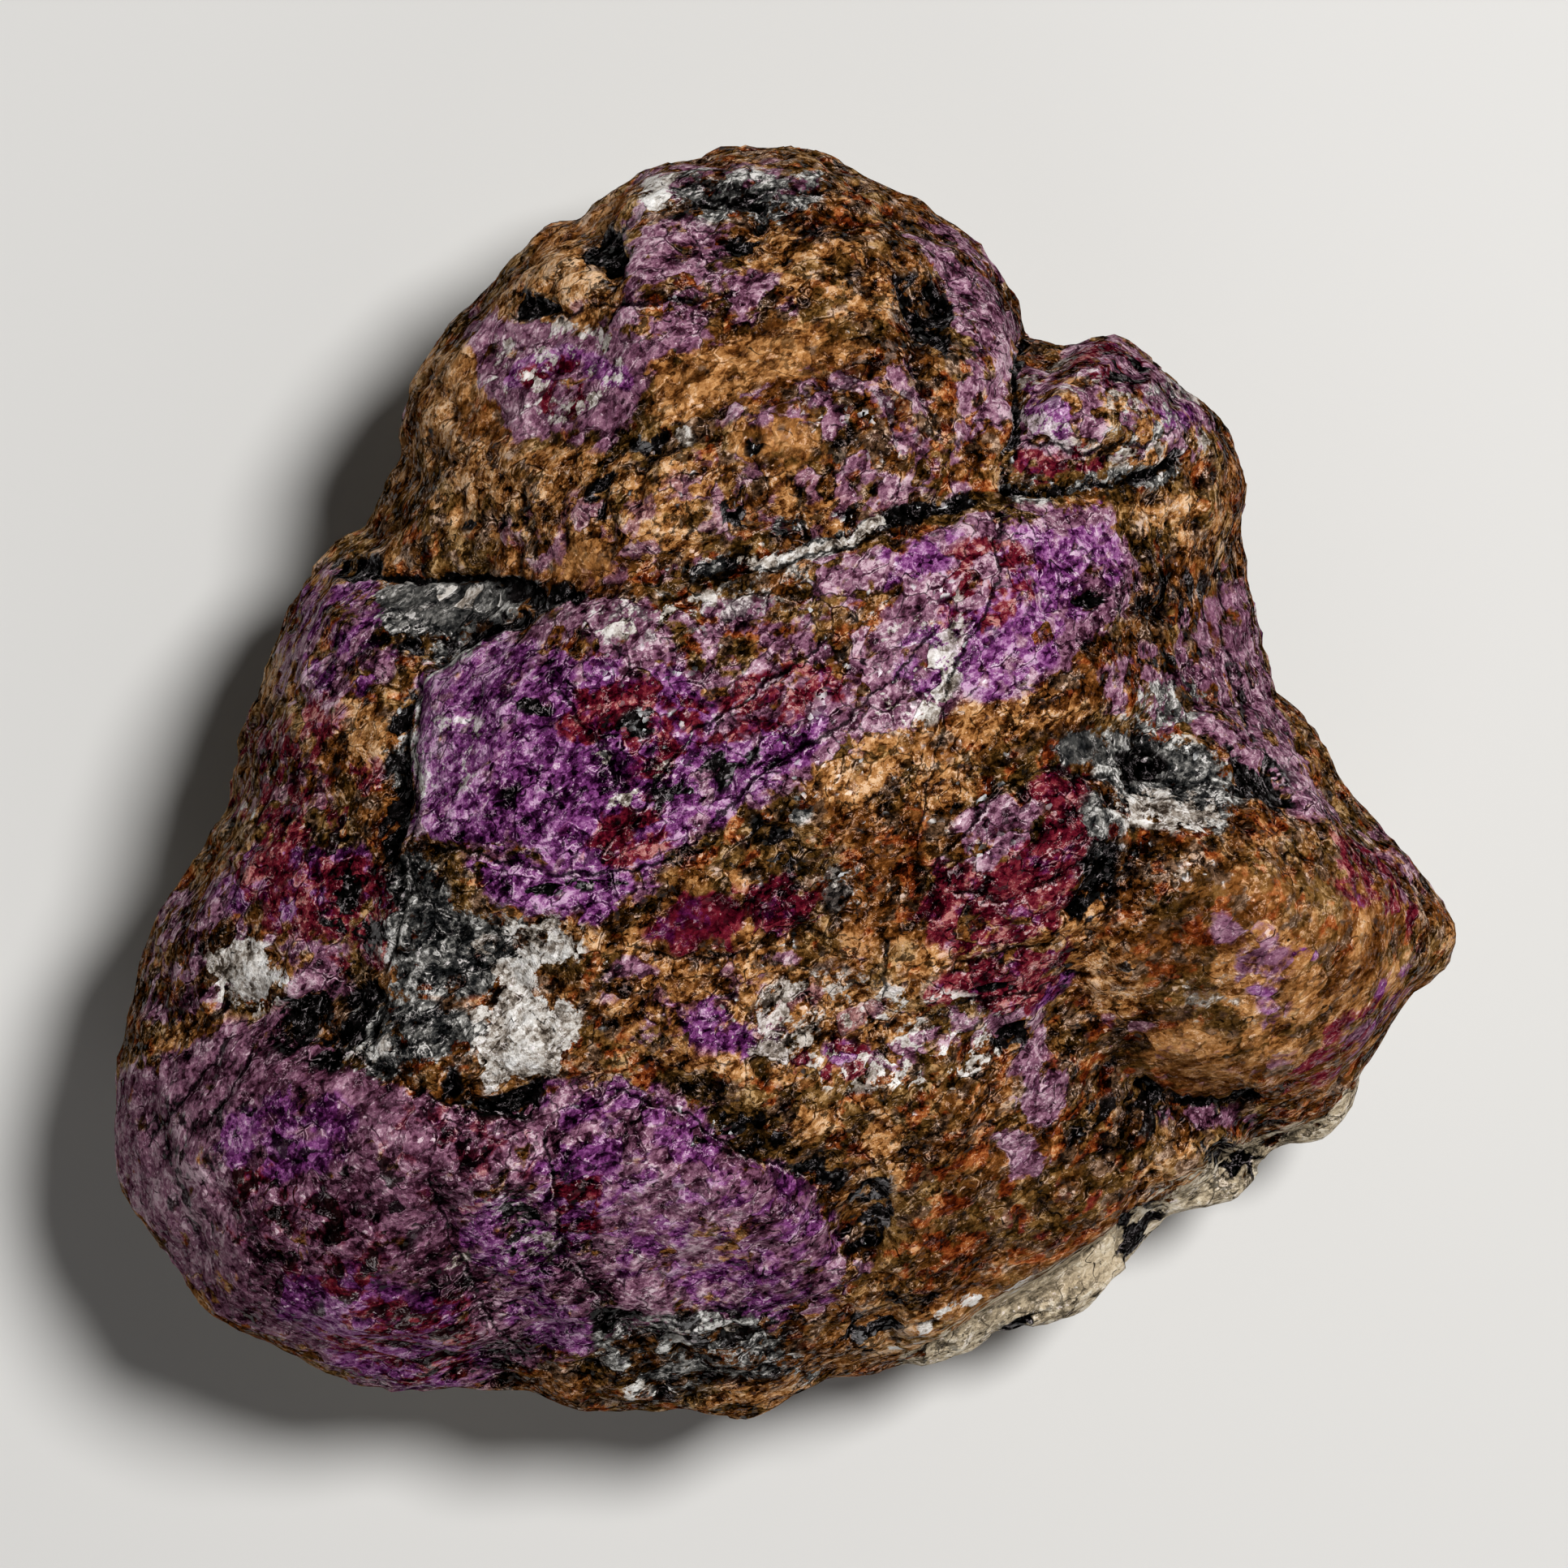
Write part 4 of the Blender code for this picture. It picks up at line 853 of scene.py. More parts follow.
        "seamLeftEnd": spot(0.7, 440, 705, 24, 16),
        "rightSpeck": spot(0.75, 1338, 742, 18, 9),
        "lensPit": spot(0.3, 1190, 1090, 30, 20),
        "lensFoot": spot(0.8, 1232, 1278, 22, 14),
        "underLens": spot(0.8, 1215, 1210, 30, 7, 10),
        "pebbleShade": spot(0.75, 925, 545, 8, 20, 20),
        "edgeSpots": spot(0.5, 890, 955, 60, 20, 40),
        "leftLow": spot(0.38, 440, 1040, 30, 30),
        "gapLow": spot(0.8, 1250, 1636, 36, 8, 20),
        "gapRight": spot(0.75, 1515, 1430, 32, 14, -20),
        "capPit": spot(0.55, 1385, 455, 20, 12),
        "backTop": spot(0.5, 900, 245, 60, 12, 8),
        "lobeLeft": spot(0.36, 310, 1450, 130, 80, -30),
        "lobeUnder": spot(0.5, 640, 1500, 20, 60, 20),
        "seamLine": stroke(0.8, 6, [(470, 712), (560, 712), (640, 722), (712, 742)]),
        "veinRight": stroke(0.9, 6, [(1245, 604), (1320, 600), (1372, 590), (1447, 558)]),
        "veinDark": stroke(1.0, 8, [(1094, 644), (1130, 634), (1170, 624), (1205, 612)]),
        "crease": stroke(0.95, 8, [(1400, 1340), (1450, 1352), (1510, 1358), (1545, 1348)]),
        "shoulderGap": stroke(0.9, 5, [(1256, 420), (1246, 470), (1250, 520), (1240, 600)]),
    },
    "calm": {
        "slope": spot(0.4, 1230, 1500, 150, 70, 10),
        "lobeHeart": spot(0.24, 880, 1490, 130, 100, -20),
        "lobe": spot(0.42, 340, 1500, 230, 190, -20),
        "knobStreak": spot(0.5, 920, 455, 120, 40, 15),
        "knobLeft": spot(0.45, 680, 470, 110, 80),
        "greyBlob": spot(0.8, 1325, 916, 26, 18, 10),
        "rightStrip": spot(0.8, 1494, 760, 20, 110),
        "brownPatch": spot(0.8, 725, 700, 44, 26),
        "seamGlass": spot(0.7, 560, 742, 80, 30),
        "boss": spot(0.65, 1575, 1200, 170, 130, -10),
        "pebble": spot(0.8, 957, 547, 48, 32),
        "bossFoot": spot(0.8, 1480, 1300, 110, 50),
        "patchLeft": spot(0.8, 852, 1138, 50, 30, 10),
        "lowSlope": spot(0.6, 1300, 1560, 140, 30, 20),
    },
}
lightness = {  # painted light and shade, part true tone: how much lighter each place is painted, or darker if below 0, its middle, half lengths and turn
    "knobBackLeft": (0.52, 744, 264, 42, 36, 45),
    "knobLilac": (0.16, 700, 420, 60, 44),
    "knobLeftRim": (0.32, 560, 548, 46, 34),
    "knobLeftEdge": (0.3, 538, 440, 34, 30),
    "knobLeftTop": (0.3, 600, 500, 34, 30),
    "knobMiddle": (0.28, 800, 540, 34, 26),
    "knobTop": (0.1, 906, 410, 50, 26),
    "knobBack": (0.12, 930, 278, 50, 22),
    "knobRight": (0.24, 1150, 508, 100, 44, -15),
    "besideGap": (0.3, 1238, 460, 28, 50),
    "gapFoot": (0.32, 1256, 562, 24, 30),
    "knobRightEdge": (-0.34, 1228, 384, 32, 34),
    "besidePit": (-0.32, 1098, 436, 30, 28),
    "crustTop": (-0.14, 742, 572, 34, 30),
    "crustLow": (0.34, 600, 684, 40, 44),
    "crustEnd": (-0.14, 704, 640, 26, 40),
    "bandUnderKnob": (-0.13, 1010, 604, 100, 26, -10),
    "leftShelf": (0.23, 472, 664, 26, 60, 10),
    "seamFoot": (0.32, 644, 734, 44, 26, -40),
    "overVein": (0.32, 930, 664, 56, 26, -35),
    "veinEnd": (0.28, 1126, 646, 40, 22, -35),
    "belowVein": (0.34, 1036, 760, 36, 40),
    "veinShade": (-0.2, 868, 716, 36, 26),
    "overPanel": (-0.12, 744, 772, 44, 40),
    "overPanelRight": (-0.15, 836, 824, 50, 26, -10),
    "panelCorner": (-0.18, 990, 790, 34, 30, -30),
    "panelTop": (-0.36, 676, 840, 34, 40),
    "upperRight": (0.14, 1276, 680, 44, 50),
    "upperRightSide": (0.12, 1222, 796, 34, 44),
    "underShoulder": (0.1, 1322, 612, 34, 22),
    "shoulderFoot": (0.2, 1404, 638, 48, 26),
    "shoulderCap": (-0.25, 1348, 474, 28, 26),
    "shoulderRim": (-0.13, 1490, 510, 34, 40),
    "shoulderLeft": (-0.1, 1300, 530, 24, 30),
    "rightColumnTop": (0.28, 1470, 716, 34, 40),
    "rightDark": (-0.42, 1424, 708, 32, 36),
    "rightDarkLow": (-0.24, 1342, 794, 40, 40, 30),
    "leftHigh": (-0.3, 462, 800, 40, 34),
    "leftEdge": (0.46, 346, 836, 32, 56, 15),
    "leftEdgeLow": (0.36, 292, 970, 28, 80, 15),
    "flankShade": (-0.18, 386, 958, 30, 30),
    "panelLeft": (0.42, 520, 846, 38, 34),
    "panelLeftLow": (0.62, 562, 918, 52, 34),
    "besideBand": (0.16, 480, 930, 22, 60),
    "panelMiddle": (0.15, 782, 862, 44, 22),
    "panelDip": (0.12, 930, 872, 40, 20),
    "panelFleck": (-0.24, 744, 944, 44, 44),
    "panelLow": (-0.16, 660, 984, 44, 34, 20),
    "panelFootLeft": (-0.12, 590, 1030, 50, 34),
    "panelRight": (0.38, 890, 958, 36, 50, -35),
    "panelFoot": (0.13, 790, 1036, 50, 22, 10),
    "panelTail": (0.22, 694, 1102, 40, 34),
    "tailLeft": (0.17, 610, 1096, 30, 26),
    "besidePanel": (-0.24, 970, 920, 38, 30),
    "acrossRight": (0.34, 1110, 826, 36, 48, 15),
    "centreStreak": (0.3, 1046, 896, 30, 60),
    "centreTop": (0.14, 1044, 980, 36, 36),
    "crackFoot": (0.3, 1158, 944, 50, 34),
    "crackTop": (-0.12, 1160, 866, 34, 24),
    "overLens": (-0.23, 1274, 945, 70, 40),
    "lensRight": (-0.15, 1290, 1034, 44, 40),
    "lensTop": (-0.1, 1184, 1006, 26, 22),
    "smallPocket": (0.2, 1392, 880, 44, 30),
    "besidePocket": (-0.12, 1512, 912, 26, 26),
    "bossBack": (-0.14, 1430, 1040, 60, 60),
    "bossBackRight": (-0.18, 1580, 1034, 44, 26),
    "bossRim": (0.36, 1584, 964, 50, 24, 15),
    "tipBack": (-0.2, 1714, 1072, 44, 34, -40),
    "flankDot": (0.34, 410, 1020, 26, 24),
    "redEdge": (0.5, 356, 1134, 30, 50),
    "besideRed": (0.32, 470, 1180, 28, 66),
    "leftRim": (-0.3, 256, 1196, 32, 56),
    "leftRimHigh": (0.3, 250, 1060, 34, 50, 30),
    "bandTop": (-0.32, 560, 1092, 48, 48),
    "bandRight": (-0.18, 574, 1160, 34, 26),
    "bandLow": (0.24, 554, 1200, 32, 26),
    "quartz": (0.2, 676, 1200, 50, 44, -30),
    "besideQuartz": (-0.16, 742, 1132, 36, 30),
    "patchRight": (-0.38, 1006, 1106, 46, 28),
    "overRibs": (-0.18, 1190, 1084, 44, 26),
    "overPatch": (-0.1, 1088, 1030, 30, 26),
    "patchFoot": (0.28, 1016, 1170, 34, 26),
    "lensLeft": (0.28, 1142, 1054, 24, 40),
    "lensMiddle": (0.17, 1254, 1150, 36, 44),
    "lensRib": (-0.08, 1172, 1202, 26, 26),
    "centre": (0.3, 1120, 1190, 50, 80, 40),
    "lensFoot": (0.2, 1230, 1256, 80, 34),
    "bossLeftLow": (0.06, 1310, 1290, 40, 40),
    "lensSide": (0.46, 1374, 1198, 40, 44),
    "bossTop": (0.13, 1634, 1118, 50, 50),
    "bossMiddle": (0.05, 1520, 1250, 50, 34),
    "tipUnder": (-0.16, 1700, 1260, 34, 60, 30),
    "roundSpot": (0.3, 316, 1230, 36, 36),
    "pocketEnd": (0.08, 360, 1270, 66, 24),
    "lobeCrack": (-0.27, 336, 1352, 90, 40, -20),
    "pocketLow": (-0.2, 536, 1250, 44, 44),
    "underCentre": (0.2, 902, 1322, 30, 54, 35),
    "seamTop": (0.34, 768, 1340, 44, 34),
    "middleLow": (0.19, 1030, 1322, 80, 28),
    "veinFoot": (0.26, 1134, 1320, 34, 26),
    "smallLens": (-0.18, 860, 1264, 30, 26),
    "middleShade": (-0.14, 970, 1246, 60, 24),
    "middleShadeRight": (-0.12, 1094, 1276, 34, 24),
    "heartTop": (-0.28, 850, 1406, 90, 28, -20),
    "heartTopLeft": (-0.32, 714, 1434, 24, 44),
    "heartLeft": (0.28, 756, 1484, 36, 50),
    "heart": (0.26, 860, 1540, 64, 80),
    "heartFoot": (0.28, 850, 1636, 54, 28),
    "heartRight": (-0.24, 976, 1488, 46, 42),
    "leafTop": (0.18, 664, 1380, 30, 54, 10),
    "leaf": (-0.48, 684, 1546, 32, 46),
    "leafFoot": (0.24, 690, 1624, 34, 36),
    "lobeSplit": (-0.14, 736, 1600, 26, 40),
    "besideLeaf": (-0.24, 570, 1432, 60, 34),
    "leafLeft": (0.17, 596, 1490, 44, 24),
    "lobeFold": (-0.46, 542, 1570, 28, 36),
    "lobeFoldSide": (0.13, 602, 1582, 26, 24),
    "lobeFlake": (0.14, 488, 1448, 24, 30),
    "lobeMiddle": (-0.36, 430, 1486, 40, 66),
    "lobeShade": (-0.36, 332, 1526, 40, 76),
    "lobeEdge": (0.38, 214, 1450, 66, 60),
    "lobeEdgeLow": (0.14, 246, 1530, 30, 30),
    "lobeFoot": (0.23, 412, 1650, 70, 40, 10),
    "lobeFootMiddle": (0.24, 552, 1650, 30, 24),
    "lobeFootRight": (-0.32, 620, 1670, 28, 34),
    "slopeTop": (0.18, 1236, 1410, 38, 80),
    "crease": (-0.2, 1374, 1380, 54, 34),
    "creaseTop": (0.2, 1450, 1340, 66, 20, -15),
    "slopeMiddle": (-0.22, 1164, 1450, 26, 40),
    "slopePit": (0.22, 1136, 1474, 26, 28),
    "slopePitLeft": (0.26, 1014, 1438, 40, 24, -20),
    "slopeShade": (-0.16, 1150, 1552, 44, 50),
    "slopeLeft": (0.46, 1084, 1634, 46, 48),
    "slopeFoot": (0.19, 1230, 1564, 40, 38),
    "slopeRight": (-0.2, 1360, 1430, 34, 30),
    "ledgeSpot": (0.22, 1440, 1438, 30, 28),
    "ledgeSpotLow": (0.3, 1406, 1488, 34, 22, 20),
    "footRim": (-0.2, 910, 1722, 40, 26),
    "pocketRight": (-0.04, 560, 1296, 34, 44),
    "underSeam": (0.28, 560, 808, 50, 22),
    "lobeTop": (-0.14, 550, 1400, 50, 36),
    "shelfFoot": (0.18, 440, 706, 44, 36),
    "crustLeft": (0.2, 552, 612, 44, 36),
    "knobLeftLow": (0.13, 652, 516, 44, 36),
    "middleTop": (-0.08, 950, 1292, 44, 34),
    "middlePocket": (0.1, 1450, 884, 44, 34),
    "knobTopRight": (-0.12, 1050, 306, 60, 36),
    "pitLeft": (0.36, 1080, 1484, 26, 34),
    "veinRightEnd": (0.1, 1050, 700, 44, 34),
    "leftTan": (0.14, 452, 900, 44, 34),
    "underPocket": (-0.26, 356, 1308, 48, 26),
    "besideLens": (-0.26, 1332, 994, 24, 46),
    "lobeFootLeft": (-0.2, 336, 1582, 44, 34, 30),
    "panelCornerLeft": (0.18, 606, 832, 60, 20),
    "panelSide": (0.12, 512, 874, 20, 50),
    "panelLowLeft": (0.22, 546, 984, 40, 34),
    "underBand": (-0.18, 846, 1346, 34, 26),
    "knobMiddleRight": (-0.18, 1030, 506, 44, 30),
    "pitTop": (0.18, 1148, 366, 18, 32),
    "leftFlankMiddle": (0.14, 396, 886, 60, 26),
    "pocketWhite": (-0.1, 1450, 1002, 40, 26),
    "slopeHigh": (0.14, 1238, 1336, 30, 34),
    "bossFootSide": (0.16, 1612, 1330, 36, 24, 30),
    "bossFootMiddle": (-0.1, 1524, 1310, 34, 20),
    "lensTopSide": (0.16, 1264, 1082, 22, 30),
    "seamRight": (0.18, 704, 790, 32, 24, -40),
    "overSeamRight": (0.15, 742, 704, 32, 24),
    "underPebble": (0.15, 1064, 548, 22, 32),
    "shoulderInside": (0.2, 1360, 528, 30, 20),
    "flankLow": (-0.15, 380, 1060, 34, 22),
    "pocketMiddle": (-0.15, 386, 1214, 28, 24),
    "slopeUnder": (-0.08, 1150, 1600, 40, 30),
    "knobLeftSlope": (0.22, 640, 356, 40, 26, 45),
    "overPanelTop": (0.1, 838, 752, 34, 26),
    "crossCrackRight": (0.12, 1160, 800, 36, 44),
    "rightBrownSide": (-0.13, 1440, 838, 24, 40),
    "rightBrownTop": (0.05, 1390, 788, 20, 30),
    "panelLowRight": (-0.14, 854, 1040, 36, 30),
    "bossSide": (-0.16, 1392, 1252, 34, 34),
    "besideHeartLow": (-0.1, 1140, 1616, 34, 24),
    "lobeMiddleRight": (-0.14, 494, 1510, 34, 40),
    "leftRimLow": (0.18, 190, 1180, 26, 60, 20),
    "leftRimInside": (0.14, 262, 1246, 24, 34),
    "lobeRim": (0.22, 158, 1338, 24, 34),
    "shelfEnd": (0.18, 480, 724, 26, 26),
    "underPebbleDark": (-0.06, 954, 598, 34, 18),
    "shoulderSide": (0.17, 1462, 570, 26, 24),
    "pocketTop": (0.12, 1374, 968, 26, 22),
    "bossBackLeft": (-0.13, 1386, 1084, 40, 40),
    "lobeEdgeMiddle": (0.12, 276, 1530, 40, 34),
    "crustRight": (-0.1, 850, 612, 40, 36),
    "upperRightMiddle": (-0.1, 1350, 706, 36, 36),
    "patchShade": (-0.2, 850, 1138, 52, 34),
    "patchShadeRight": (-0.12, 962, 1112, 40, 28),
    "lobeRightEdge": (-0.12, 940, 1560, 34, 40),
    "quartzLow": (-0.1, 656, 1300, 40, 34),
    "shoulderLow": (0.14, 1350, 590, 44, 20, -10),
    "centreLow": (0.1, 1050, 1200, 44, 40),
}
cracks = {  # thin cracks, sunk a little, painted with shade and with pale glint rims
    "veinUnder": [(850, 712), (930, 696), (1020, 681), (1090, 660)],
    "knobFold": [(876, 314), (905, 296), (936, 277)],
    "knobPitLine": [(1136, 372), (1128, 400), (1128, 440)],
    "crustLineA": [(984, 606), (990, 660)],
    "crustLineB": [(842, 624), (848, 664)],
    "shoulderFold": [(1264, 545), (1330, 556), (1400, 548), (1440, 530)],
    "rightCrack": [(1231, 638), (1225, 728), (1192, 800), (1159, 860), (1150, 950), (1130, 1030)],
    "knobCrack": [(1128, 400), (1124, 450), (1135, 500), (1152, 532)],
    "shoulderCrack": [(1260, 420), (1248, 470), (1252, 520), (1240, 600)],
    "panelTop": [(522, 830), (580, 790), (640, 762)],
    "panelSide": [(522, 830), (518, 900), (514, 1000), (500, 1090), (470, 1200)],
    "diagonalA": [(740, 1052), (800, 975), (850, 905), (930, 850), (1010, 792)],
    "diagonalB": [(690, 860), (725, 905), (760, 965)],
    "diagonalC": [(860, 1030), (930, 960), (1010, 905), (1090, 850), (1150, 780)],
    "panelFoot": [(520, 1040), (600, 1055), (690, 1072), (780, 1070), (880, 1040)],
    "patchArc": [(915, 1180), (930, 1165), (955, 1142), (985, 1138), (1010, 1150)],
    "patchUnder": [(780, 1170), (800, 1176), (860, 1182), (915, 1172)],
    "lobeLineA": [(190, 1400), (235, 1340), (275, 1285)],
    "lobeLineB": [(245, 1390), (290, 1345), (310, 1300)],
    "leafLeft": [(530, 1450), (560, 1540), (600, 1620), (640, 1665)],
    "leafRight": [(675, 1400), (685, 1470), (690, 1540), (740, 1590)],
    "lensTop": [(1120, 1110), (1180, 1030), (1232, 968), (1300, 944), (1352, 962)],
    "lensRibA": [(1160, 1190), (1220, 1172), (1290, 1165)],
    "lensRibB": [(1140, 1250), (1200, 1230), (1290, 1212)],
    "lensCross": [(1180, 1100), (1240, 1110), (1330, 1060)],
    "knobLine": [(640, 388), (760, 378), (840, 372), (900, 360)],
    "backGroove": [(830, 232), (900, 238), (960, 232), (1012, 240)],
    "heartTop": [(760, 1345), (850, 1372), (905, 1418), (990, 1440)],
    "frontSeam": [(380, 1250), (440, 1300), (520, 1340), (560, 1360), (640, 1372)],
    "middleRib": [(1086, 1158), (1090, 1215)],
    "flankLine": [(1500, 690), (1506, 790), (1530, 880), (1570, 970)],
}


def nearTo(pixels, points, reach):
    # The indices of the pixels in the points' box, with a border round it.
    low, high = np.min(points, axis=0) - reach, np.max(points, axis=0) + reach
    return np.flatnonzero(((pixels > low) & (pixels < high)).all(axis=1))


def stainStrength(pixels, kind):
    # 0.5 on an edge, rising to the shape's cover inside: min(cover, 0.5 + distance / (2 * spread)).
    strength = np.zeros(len(pixels))
    for cover, corners, spread, signedDistance in stains[kind].values():
        near = nearTo(pixels, corners, widest)
        if len(near):
            value = np.clip(0.5 + signedDistance(pixels[near]) / (2 * spread), 0, cover)
            strength[near] = np.maximum(strength[near], value)
    return strength


def crackField(pixels):
    # The nearest crack's distance in millimetres, and the same with its side as the sign.
    reach = staining["crackReach"] * view["pixelsPerMm"]
    nearest = np.full(len(pixels), reach)
    signed = nearest.copy()
    for line in cracks.values():
        near = nearTo(pixels, line, reach)
        if len(near):
            distance, side = lineDistance(pixels[near], line)
            closer = distance < nearest[near]
            nearest[near[closer]] = distance[closer]
            signed[near[closer]] = (distance * side)[closer]
    return nearest / view["pixelsPerMm"], signed / view["pixelsPerMm"]


def lightnessOn(pixels):
    # Painted light and shade, part true tone: the sum of amount * exp(-r^2), where r is 1 on the place's
    # ellipse.
    total = np.zeros(len(pixels))
    for amount, *place in lightness.values():
        total += amount * np.exp(-(ellipseReach(pixels, *place) ** 2))
    return total


def wandered(pixels, points, distance, size, step):
    # The pixels moved by distance * noise(points / size).
    moves = [latticeNoise(points, size, salt + step) for salt in salts["wander"]]
    return pixels + distance * view["pixelsPerMm"] * np.stack(moves, axis=1)


def stainsOn(points, high):
    # Above the rim the stains are as pictured. Below it they are patches of noise, and the pale matrix starts
    # at an uneven line.
    pixels = wandered(seenPixels(points), points, *staining["wanderNear"], 1)
    below = smoothStep(-high, *staining["belowBand"])
    distance, signed = crackField(pixels)
    pixels = wandered(pixels, points, *staining["wanderFar"], 0)
    found = {kind: stainStrength(pixels, kind) for kind in stains}
    for kind in ("lilac", "violet", "maroon"):
        found[kind] *= 1 - staining["ochreHides"] * smoothStep(found["ochre"], *staining["ochreBand"])
    for k, kind in enumerate(stains):
        found[kind] *= 1 - below
        if kind in staining["underStains"]:
            patch = layeredNoise(points, staining["patchSize"], salts["underStains"] + 10 * k)
            patch = staining["underStains"][kind] + staining["patchChance"] * patch
            found[kind] += np.clip(patch, 0, staining["patchMost"]) * below

    crustEnd = staining["matrixHeight"]
    for k, (size, height) in enumerate(staining["matrixWander"]):
        crustEnd = crustEnd + height * latticeNoise(points, size, salts["crustEnd"] + k)
    ledge = 0.5 + outsideLedge(points[:, :2]) / (2 * staining["spread"])
    crust = 0.5 + staining["matrixSharpness"] * (crustEnd - high)
    found["matrix"] = np.clip(np.maximum(crust, ledge), 0, 1)
    # Painted light and shade, part true tone, above the rim
    found["lightness"] = lightnessOn(pixels) * (1 - below)
    found["crackDistance"] = np.maximum(distance, staining["crackReach"] * below)
    found["crackSide"] = signed
    return found


# The fine surface

surface = {
    "cells": 128,  # along each side of the starting cube
    "rimRow": 26,  # of those, how many are below the rim
    "crowding": 1.3,  # above 1, the points above the rim crowd towards the middle
    "scoops": (3.6, 0.42),  # size and depth of hollows that meet in sharp ridges, in millimetres
    "grains": (1.3, 0.16),  # size and height of small domed faces
    "waves": ((2.4, 0.1), (1.2, 0.1), (0.6, 0.08)),
    "steps": (1.9, 0.17, 0.8),  # width and height of the cleavage steps, and how far they wander
    "layerTurn": 42,  # degrees from +X, along the cleavage
    "stepLayers": 5.0,  # the size over which they wander
    "fallFrom": 0.84,  # the share of a step after which it falls
    "pits": (1.0, 0.34),
    "pitBand": (0.25, 0.8),
    "darkDepth": 0.4,
    "darkBand": (0.4, 0.62),
    "crackDepth": 0.16,
    "crackWidth": 0.24,
    "upperBand": (-0.3, 0.1),  # from where to where up the rock the pits and cracks begin
    "calmBand": (0.3, 0.7),
    "calmShare": 0.65,  # how much of the roughness a calm place loses
    "stainBand": (0.35, 0.65),  # from where to where a stain's strength changes the relief
    "stainedGrain": 0.5,  # the share of the grains that a stain smooths away
    "bareSteps": 0.3,  # the share of the steps' height where no stain is
    "groundBand": (0.0, 0.6),  # millimetres above the ground over which the relief begins
    "hollowSteps": 14,  # passes of smoothing that say what is a hollow
    "hollowDepth": 0.9,
    "lightnessRange": 0.7,
}


def cubeLattice(cells):
    # Six grids of two parameters, a and b from 0 to cells: corner + a * across + b * up. Shared edges are
    # merged, and the rows are moved so that one lies on the rim.
    along, up = np.meshgrid(np.arange(cells + 1), np.arange(cells + 1), indexing="ij")
    flat, full = np.zeros_like(along), np.full_like(along, cells)
    sides = [
        (full, along, up), (flat, up, along),
        (up, full, along), (along, flat, up),
        (along, up, full), (up, along, flat),
    ]
    laid = np.concatenate([np.stack(side, axis=-1).reshape(-1, 3) for side in sides])
    corners, index = np.unique(laid, axis=0, return_inverse=True)
    quads = []
    for side in index.reshape(6, cells + 1, cells + 1):
        ring = (side[:-1, :-1], side[1:, :-1], side[1:, 1:], side[:-1, 1:])
        quads.append(np.stack(ring, axis=-1).reshape(-1, 4))
    places = corners / cells * 2 - 1
    rim = surface["rimRow"] / cells * 2 - 1
    tall = places[:, 2]
    places[:, 2] = np.where(tall > rim, (tall - rim) / (1 - rim), (tall - rim) / (1 + rim))
    return places, np.concatenate(quads)


def cubeDirections(places):
    # tan(place * 45 degrees), scaled to length 1, spreads the cube's points evenly over a ball. Then, above
    # the rim, the angle from the pole is made (angle / 90)^crowding * 90.
    bent = np.tan(places * np.pi / 4)
    directions = bent / np.linalg.norm(bent, axis=1, keepdims=True)
    fromPole = np.arccos(np.clip(directions[:, 2], 0, 1)) / (np.pi / 2)
    turned = fromPole ** surface["crowding"] * np.pi / 2
    flat = np.hypot(directions[:, 0], directions[:, 1])
    upper = (directions[:, 2] > 0) & (flat > 0)
    wider = np.where(upper, np.sin(turned) / np.maximum(flat, 1e-9), 1)
    tall = np.where(upper, np.cos(turned), directions[:, 2])
    return np.column_stack([directions[:, 0] * wider, directions[:, 1] * wider, tall])


def pointNormals(points, quads):
    # The sum of the crossed diagonals of the faces round each point, scaled to length 1.
    across = np.cross(points[quads[:, 2]] - points[quads[:, 0]], points[quads[:, 3]] - points[quads[:, 1]])
    totals = [np.bincount(quads.ravel(), np.repeat(part, 4), len(points)) for part in across.T]
    total = np.stack(totals, axis=1)
    return total / np.linalg.norm(total, axis=1, keepdims=True)


def smoothed(values, quads, steps):
    # Each step takes the mean of each face, and then of the faces round each point.
    count = np.bincount(quads.ravel(), minlength=len(values))
    for _ in range(steps):
        values = np.bincount(quads.ravel(), np.repeat(values[quads].mean(axis=1), 4), len(values)) / count
    return values


